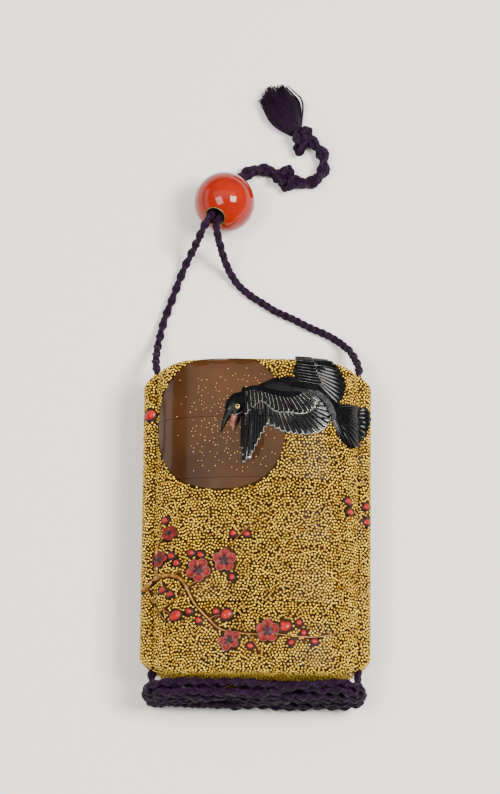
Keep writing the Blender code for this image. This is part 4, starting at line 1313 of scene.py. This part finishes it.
def strewn(name, places, size, height, material):
    """One mesh with a grain at each (place, direction out), each with its own size and turn."""
    shake = random.Random(len(places))
    corners = np.empty((len(places), len(GRAIN_POINTS), 3))
    for index, (place, out) in enumerate(places):
        first = out.orthogonal().normalized()
        second = out.cross(first)
        spin = shake.uniform(0, math.pi)
        long_way = first * math.cos(spin) + second * math.sin(spin)
        short_way = second * math.cos(spin) - first * math.sin(spin)
        whole = size * shake.uniform(0.88, 1.10)
        stretch = shake.choice((1.0, 1.08, 1.18, 1.34))
        frame_axes = np.array([long_way * whole * stretch, short_way * whole / stretch ** 0.6, out * height])
        corners[index] = GRAIN_POINTS @ frame_axes + np.array(place)
    faces = (GRAIN_FACES[None] + np.arange(len(places))[:, None, None] * len(GRAIN_POINTS)).reshape(-1, 3)
    mesh = bpy.data.meshes.new(name)
    mesh.from_pydata(corners.reshape(-1, 3).tolist(), [], faces.tolist())
    mesh.shade_smooth()
    mesh.materials.append(material)
    piece = bpy.data.objects.new(name, mesh)
    bpy.context.collection.objects.link(piece)
    return piece


print("a grain has", len(GRAIN_FACES), "faces and", len(GRAIN_POINTS), "points")

# %% [markdown]
# The front and the back are covered from one unrolled sheet each, and the two ends from a flat one.

# %% Strew the front, the back and the ends
GRAIN_RADIUS, GRAIN_HEIGHT, FLOOR_GAP = 0.00037, 0.00013, 0.00010
SHEET_EDGE, SHEET_REACH = 0.00015, 0.0465
grains = {name: [] for name in CASE_NODES}


def add_grain(place, out):
    if clear_of_holes(place):
        place.y = beside_seam(place.y)
        place.z = max(place.z, FLOOR_GAP)
        grains[case_at(place.y)].append((place, out))


def on_sheet(distance, run):
    if abs(distance) > HALF_GIRTH - SHEET_EDGE:
        return False
    x = across_at(distance)
    return abs(run) < HALF_LENGTH - EDGE_ROLL - shoulder(x) + EDGE_ROLL * math.pi / 2


for face, seed in ((1, 11), (-1, 12)):
    sheet = spread_points((-HALF_GIRTH - 0.001, -SHEET_REACH), (HALF_GIRTH + 0.001, SHEET_REACH), on_sheet,
                          seed)
    for distance, run in sheet:
        x = across_at(distance)
        if face < 0 or clear_of_ornament(x, run):
            add_grain(*surface(x, run, face))


def on_end(x, height):
    return abs(x) < OUTER_EDGE - EDGE_ROLL and abs(height) < front_height(x) - EDGE_ROLL - 0.0002


end_sheet = spread_points((-0.031, -0.013), (0.031, 0.013), on_end, 13)
for end in (-1, 1):
    for x, height in end_sheet:
        place = Vector((x, end * (HALF_LENGTH - shoulder(x)), MIDDLE_HEIGHT + height))
        lean = (shoulder(x + 0.0002) - shoulder(x - 0.0002)) / 0.0004
        add_grain(place, Vector((lean, end, 0)).normalized())
for name, places in grains.items():
    strewn_piece = strewn("grains_" + name, places, GRAIN_RADIUS, GRAIN_HEIGHT, gold)
    piece = settle_on(strewn_piece)
    print(piece.name, len(places), "grains,", triangles(piece), "triangles")

# %% [markdown]
# On the moon, much finer gold dust is scattered, thickest round the bird's head and beak.

# %% Dust on the moon
dust_gold = finish("moon_dust", (0.50, 0.22, 0.05), (0.90, 0.58, 0.20), scale=900, roughness=(0.3, 0.45),
                   Metallic=0.6)
DUST_COUNT, DUST_SPACING, DUST_RADIUS, DUST_HEIGHT = 250, 0.65, 0.00017, 0.00005
dust = {"lid": [], "upper_case": []}
sprinkle = random.Random(21)
spots = []
while len(spots) < DUST_COUNT:
    spot = Vector((sprinkle.gauss(-6.0, 7.5), sprinkle.gauss(27.0, 8.5)))
    if any((spot - other).length < DUST_SPACING for other in spots):
        continue
    if moon_reach(*(spot * MM)) > 0.95 or abs(spot.y - 28.0) < 0.35 or not 12 < spot.y < 42:
        continue
    spots.append(spot)
    place, out = surface(spot.x * MM, spot.y * MM - PICTURE_DROP)
    dust[case_at(place.y)].append((place + out * 0.0001, out))
for name, places in dust.items():
    specks = strewn("moon_dust_" + name, places, DUST_RADIUS, DUST_HEIGHT, dust_gold)
    settle_on(specks)
    print(specks.name, len(places), "specks")

# %% [markdown]
# ## The bead
#
# The bead is a polished ball of coral red. A dense ball is cut through with a cylinder for the cords,
# the mouth's edge is softened, and a thin metal ring lines each mouth.

# %% Turn the bead
BEAD_DIAMETER, BEAD_BORE = 0.0173, 0.0055
BEAD_CENTRE = Vector((-0.0100, 0.0955, BEAD_DIAMETER / 2 + 0.0001))
BORE_RISE, BORE_TURN = math.radians(38), math.radians(23.5)
BORE = Vector((-math.sin(BORE_TURN) * math.cos(BORE_RISE), -math.cos(BORE_TURN) * math.cos(BORE_RISE),
               math.sin(BORE_RISE)))
BORE_ANGLES = BORE.to_track_quat("Z", "Y").to_euler()
MOUTH_BEVEL, RING_RADIUS, RING_GAP = 0.00018, 0.00022, 0.00008
coral = finish("coral_red", (0.20, 0.0065, 0.0008), (0.31, 0.011, 0.0012), scale=120, low=0.3, high=0.7,
               roughness=(0.06, 0.10), grain=500, depth=0.04, Specular_IOR_Level=0.3)
ring_metal = finish("ring_metal", (0.09, 0.075, 0.025), (0.20, 0.16, 0.06), scale=800,
                    roughness=(0.3, 0.5), Metallic=0.8)
bpy.ops.object.select_all(action="DESELECT")
bpy.ops.mesh.primitive_uv_sphere_add(segments=96, ring_count=48, radius=BEAD_DIAMETER / 2,
                                     location=BEAD_CENTRE, rotation=BORE_ANGLES)
ball = start_piece("coral_bead", coral)
bpy.ops.object.select_all(action="DESELECT")
bpy.ops.mesh.primitive_cylinder_add(vertices=48, radius=BEAD_BORE / 2, depth=BEAD_DIAMETER * 2,
                                    location=BEAD_CENTRE, rotation=BORE_ANGLES)
drill = start_piece("drill")
cut = ball.modifiers.new("bore", "BOOLEAN")
cut.object = drill
cut.solver = "EXACT"
apply_modifiers(ball)
bpy.data.objects.remove(drill)
soft_edge = ball.modifiers.new("mouth", "BEVEL")
soft_edge.width = MOUTH_BEVEL
soft_edge.segments = 3
soft_edge.limit_method = "ANGLE"
soft_edge.angle_limit = math.radians(35)
apply_modifiers(ball)
smooth(ball, 50)
reach = math.sqrt((BEAD_DIAMETER / 2) ** 2 - (BEAD_BORE / 2) ** 2)
rings = []
for way in (1, -1):
    bpy.ops.object.select_all(action="DESELECT")
    bpy.ops.mesh.primitive_torus_add(major_segments=48, minor_segments=10,
                                     major_radius=BEAD_BORE / 2 + RING_GAP, minor_radius=RING_RADIUS,
                                     location=BEAD_CENTRE + BORE * reach * way, rotation=BORE_ANGLES)
    rings.append(smooth(start_piece("ring", ring_metal), 60))
bead = joined([ball] + rings, "coral_bead")
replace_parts(settle_on(bead), "bead")
print("bead:", triangles(bead), "triangles")

# %% [markdown]
# ## Silk
#
# Silk shows fine threads along each strand. The two values stored on the cord's mesh
# steer the threads: stripes round each strand that lean a little as they go along it.

# %% Silk finish
silk = bpy.data.materials.new("plum_silk")
silk.use_nodes = True
tree = silk.node_tree
shader = tree.nodes["Principled BSDF"]
along = node(tree, "Attribute", attribute_name="along")
around = node(tree, "Attribute", attribute_name="round")
lean = node(tree, "Math", {1: 1.1}, operation="MULTIPLY")
wind = node(tree, "Math", operation="ADD")
stripes = node(tree, "Math", {1: 7.0}, operation="MULTIPLY")
wave = node(tree, "Math", operation="SINE")
tone = node(tree, "Group", {"Scale": 1400, "Dark": (0.0025, 0.0006, 0.003, 1),
                            "Light": (0.014, 0.0038, 0.017, 1), "Low": 0.35, "High": 0.68}, node_tree=patches)
shade = node(tree, "MapRange", {"From Min": -1.0, "From Max": 1.0, "To Min": 0.0, "To Max": 0.45})
thread = node(tree, "Mix", {"B": (0.036, 0.013, 0.044, 1)}, data_type="RGBA")
bump = node(tree, "Bump", {"Strength": 0.7, "Distance": 0.00008})
wire(tree, (along, "Fac", lean, 0), (lean, "Value", wind, 0), (around, "Fac", wind, 1),
     (wind, "Value", stripes, 0), (stripes, "Value", wave, 0), (wave, "Value", shade, "Value"),
     (wave, "Value", bump, "Height"), (shade, "Result", thread, "Factor"), (tone, "Color", thread, "A"),
     (thread, "Result", shader, "Base Color"), (bump, "Normal", shader, "Normal"))
shader.inputs["Roughness"].default_value = 0.5
shader.inputs["Specular IOR Level"].default_value = 0.1
for piece in silk_pieces:
    piece.data.materials.append(silk)
print("silk on", len(silk_pieces), "pieces")

# %% [markdown]
# ## Floor and light
#
# The floor is plain and pale. A long weak light hangs above and gives the gold its broad sheen. Two
# strong ones stand at the camera's sides, so that the bead and the rolled edge at the bottom mirror
# them but the moon doesn't. A low strip at the left draws a pale band down the moon's edge.

# %% Stage
floor_finish = bpy.data.materials.new("pale_floor")
floor_finish.use_nodes = True
floor_finish.node_tree.nodes["Principled BSDF"].inputs["Base Color"].default_value = (0.80, 0.79, 0.77, 1)
floor_finish.node_tree.nodes["Principled BSDF"].inputs["Roughness"].default_value = 0.8
bpy.ops.object.select_all(action="DESELECT")
bpy.ops.mesh.primitive_plane_add(size=6, location=(0, 0, -0.00008))
floor = start_piece("floor", floor_finish)


def soft_light(name, place, aim, size, watts, colour=(1, 1, 1)):
    """A rectangular soft light at a place, turned to a point."""
    light = bpy.data.lights.new(name, "AREA")
    light.shape = "RECTANGLE"
    light.size, light.size_y = size
    light.energy = watts
    light.color = colour
    lamp = bpy.data.objects.new(name, light)
    lamp.location = place
    lamp.rotation_euler = (Vector(place) - Vector(aim)).to_track_quat("Z", "Y").to_euler()
    bpy.context.collection.objects.link(lamp)
    return lamp


soft_light("top_light", (0, 0.30, 1.10), (0, 0.02, 0), (1.9, 0.7), 6, (1, 0.92, 0.82))
soft_light("left_key_light", (-0.34, -0.10, 0.90), (0, 0.02, 0), (0.50, 0.40), 8, (1, 0.98, 0.94))
soft_light("right_key_light", (0.57, 0.03, 0.90), (0, 0.02, 0), (0.38, 0.42), 21, (1, 0.98, 0.94))
soft_light("left_light", (-0.75, 0.15, 0.21), (0, 0.02, 0.01), (0.9, 0.25), 1.3)
world = bpy.data.worlds.new("studio")
bpy.context.scene.world = world
world.use_nodes = True
world.node_tree.nodes["Background"].inputs["Color"].default_value = (0.88, 0.86, 0.82, 1)
world.node_tree.nodes["Background"].inputs["Strength"].default_value = 0.40

# %% Count the triangles
shown = [piece for piece in bpy.data.objects if piece.type == "MESH" and not piece.hide_render]
print("triangles in all:", sum(triangles(piece) for piece in shown))
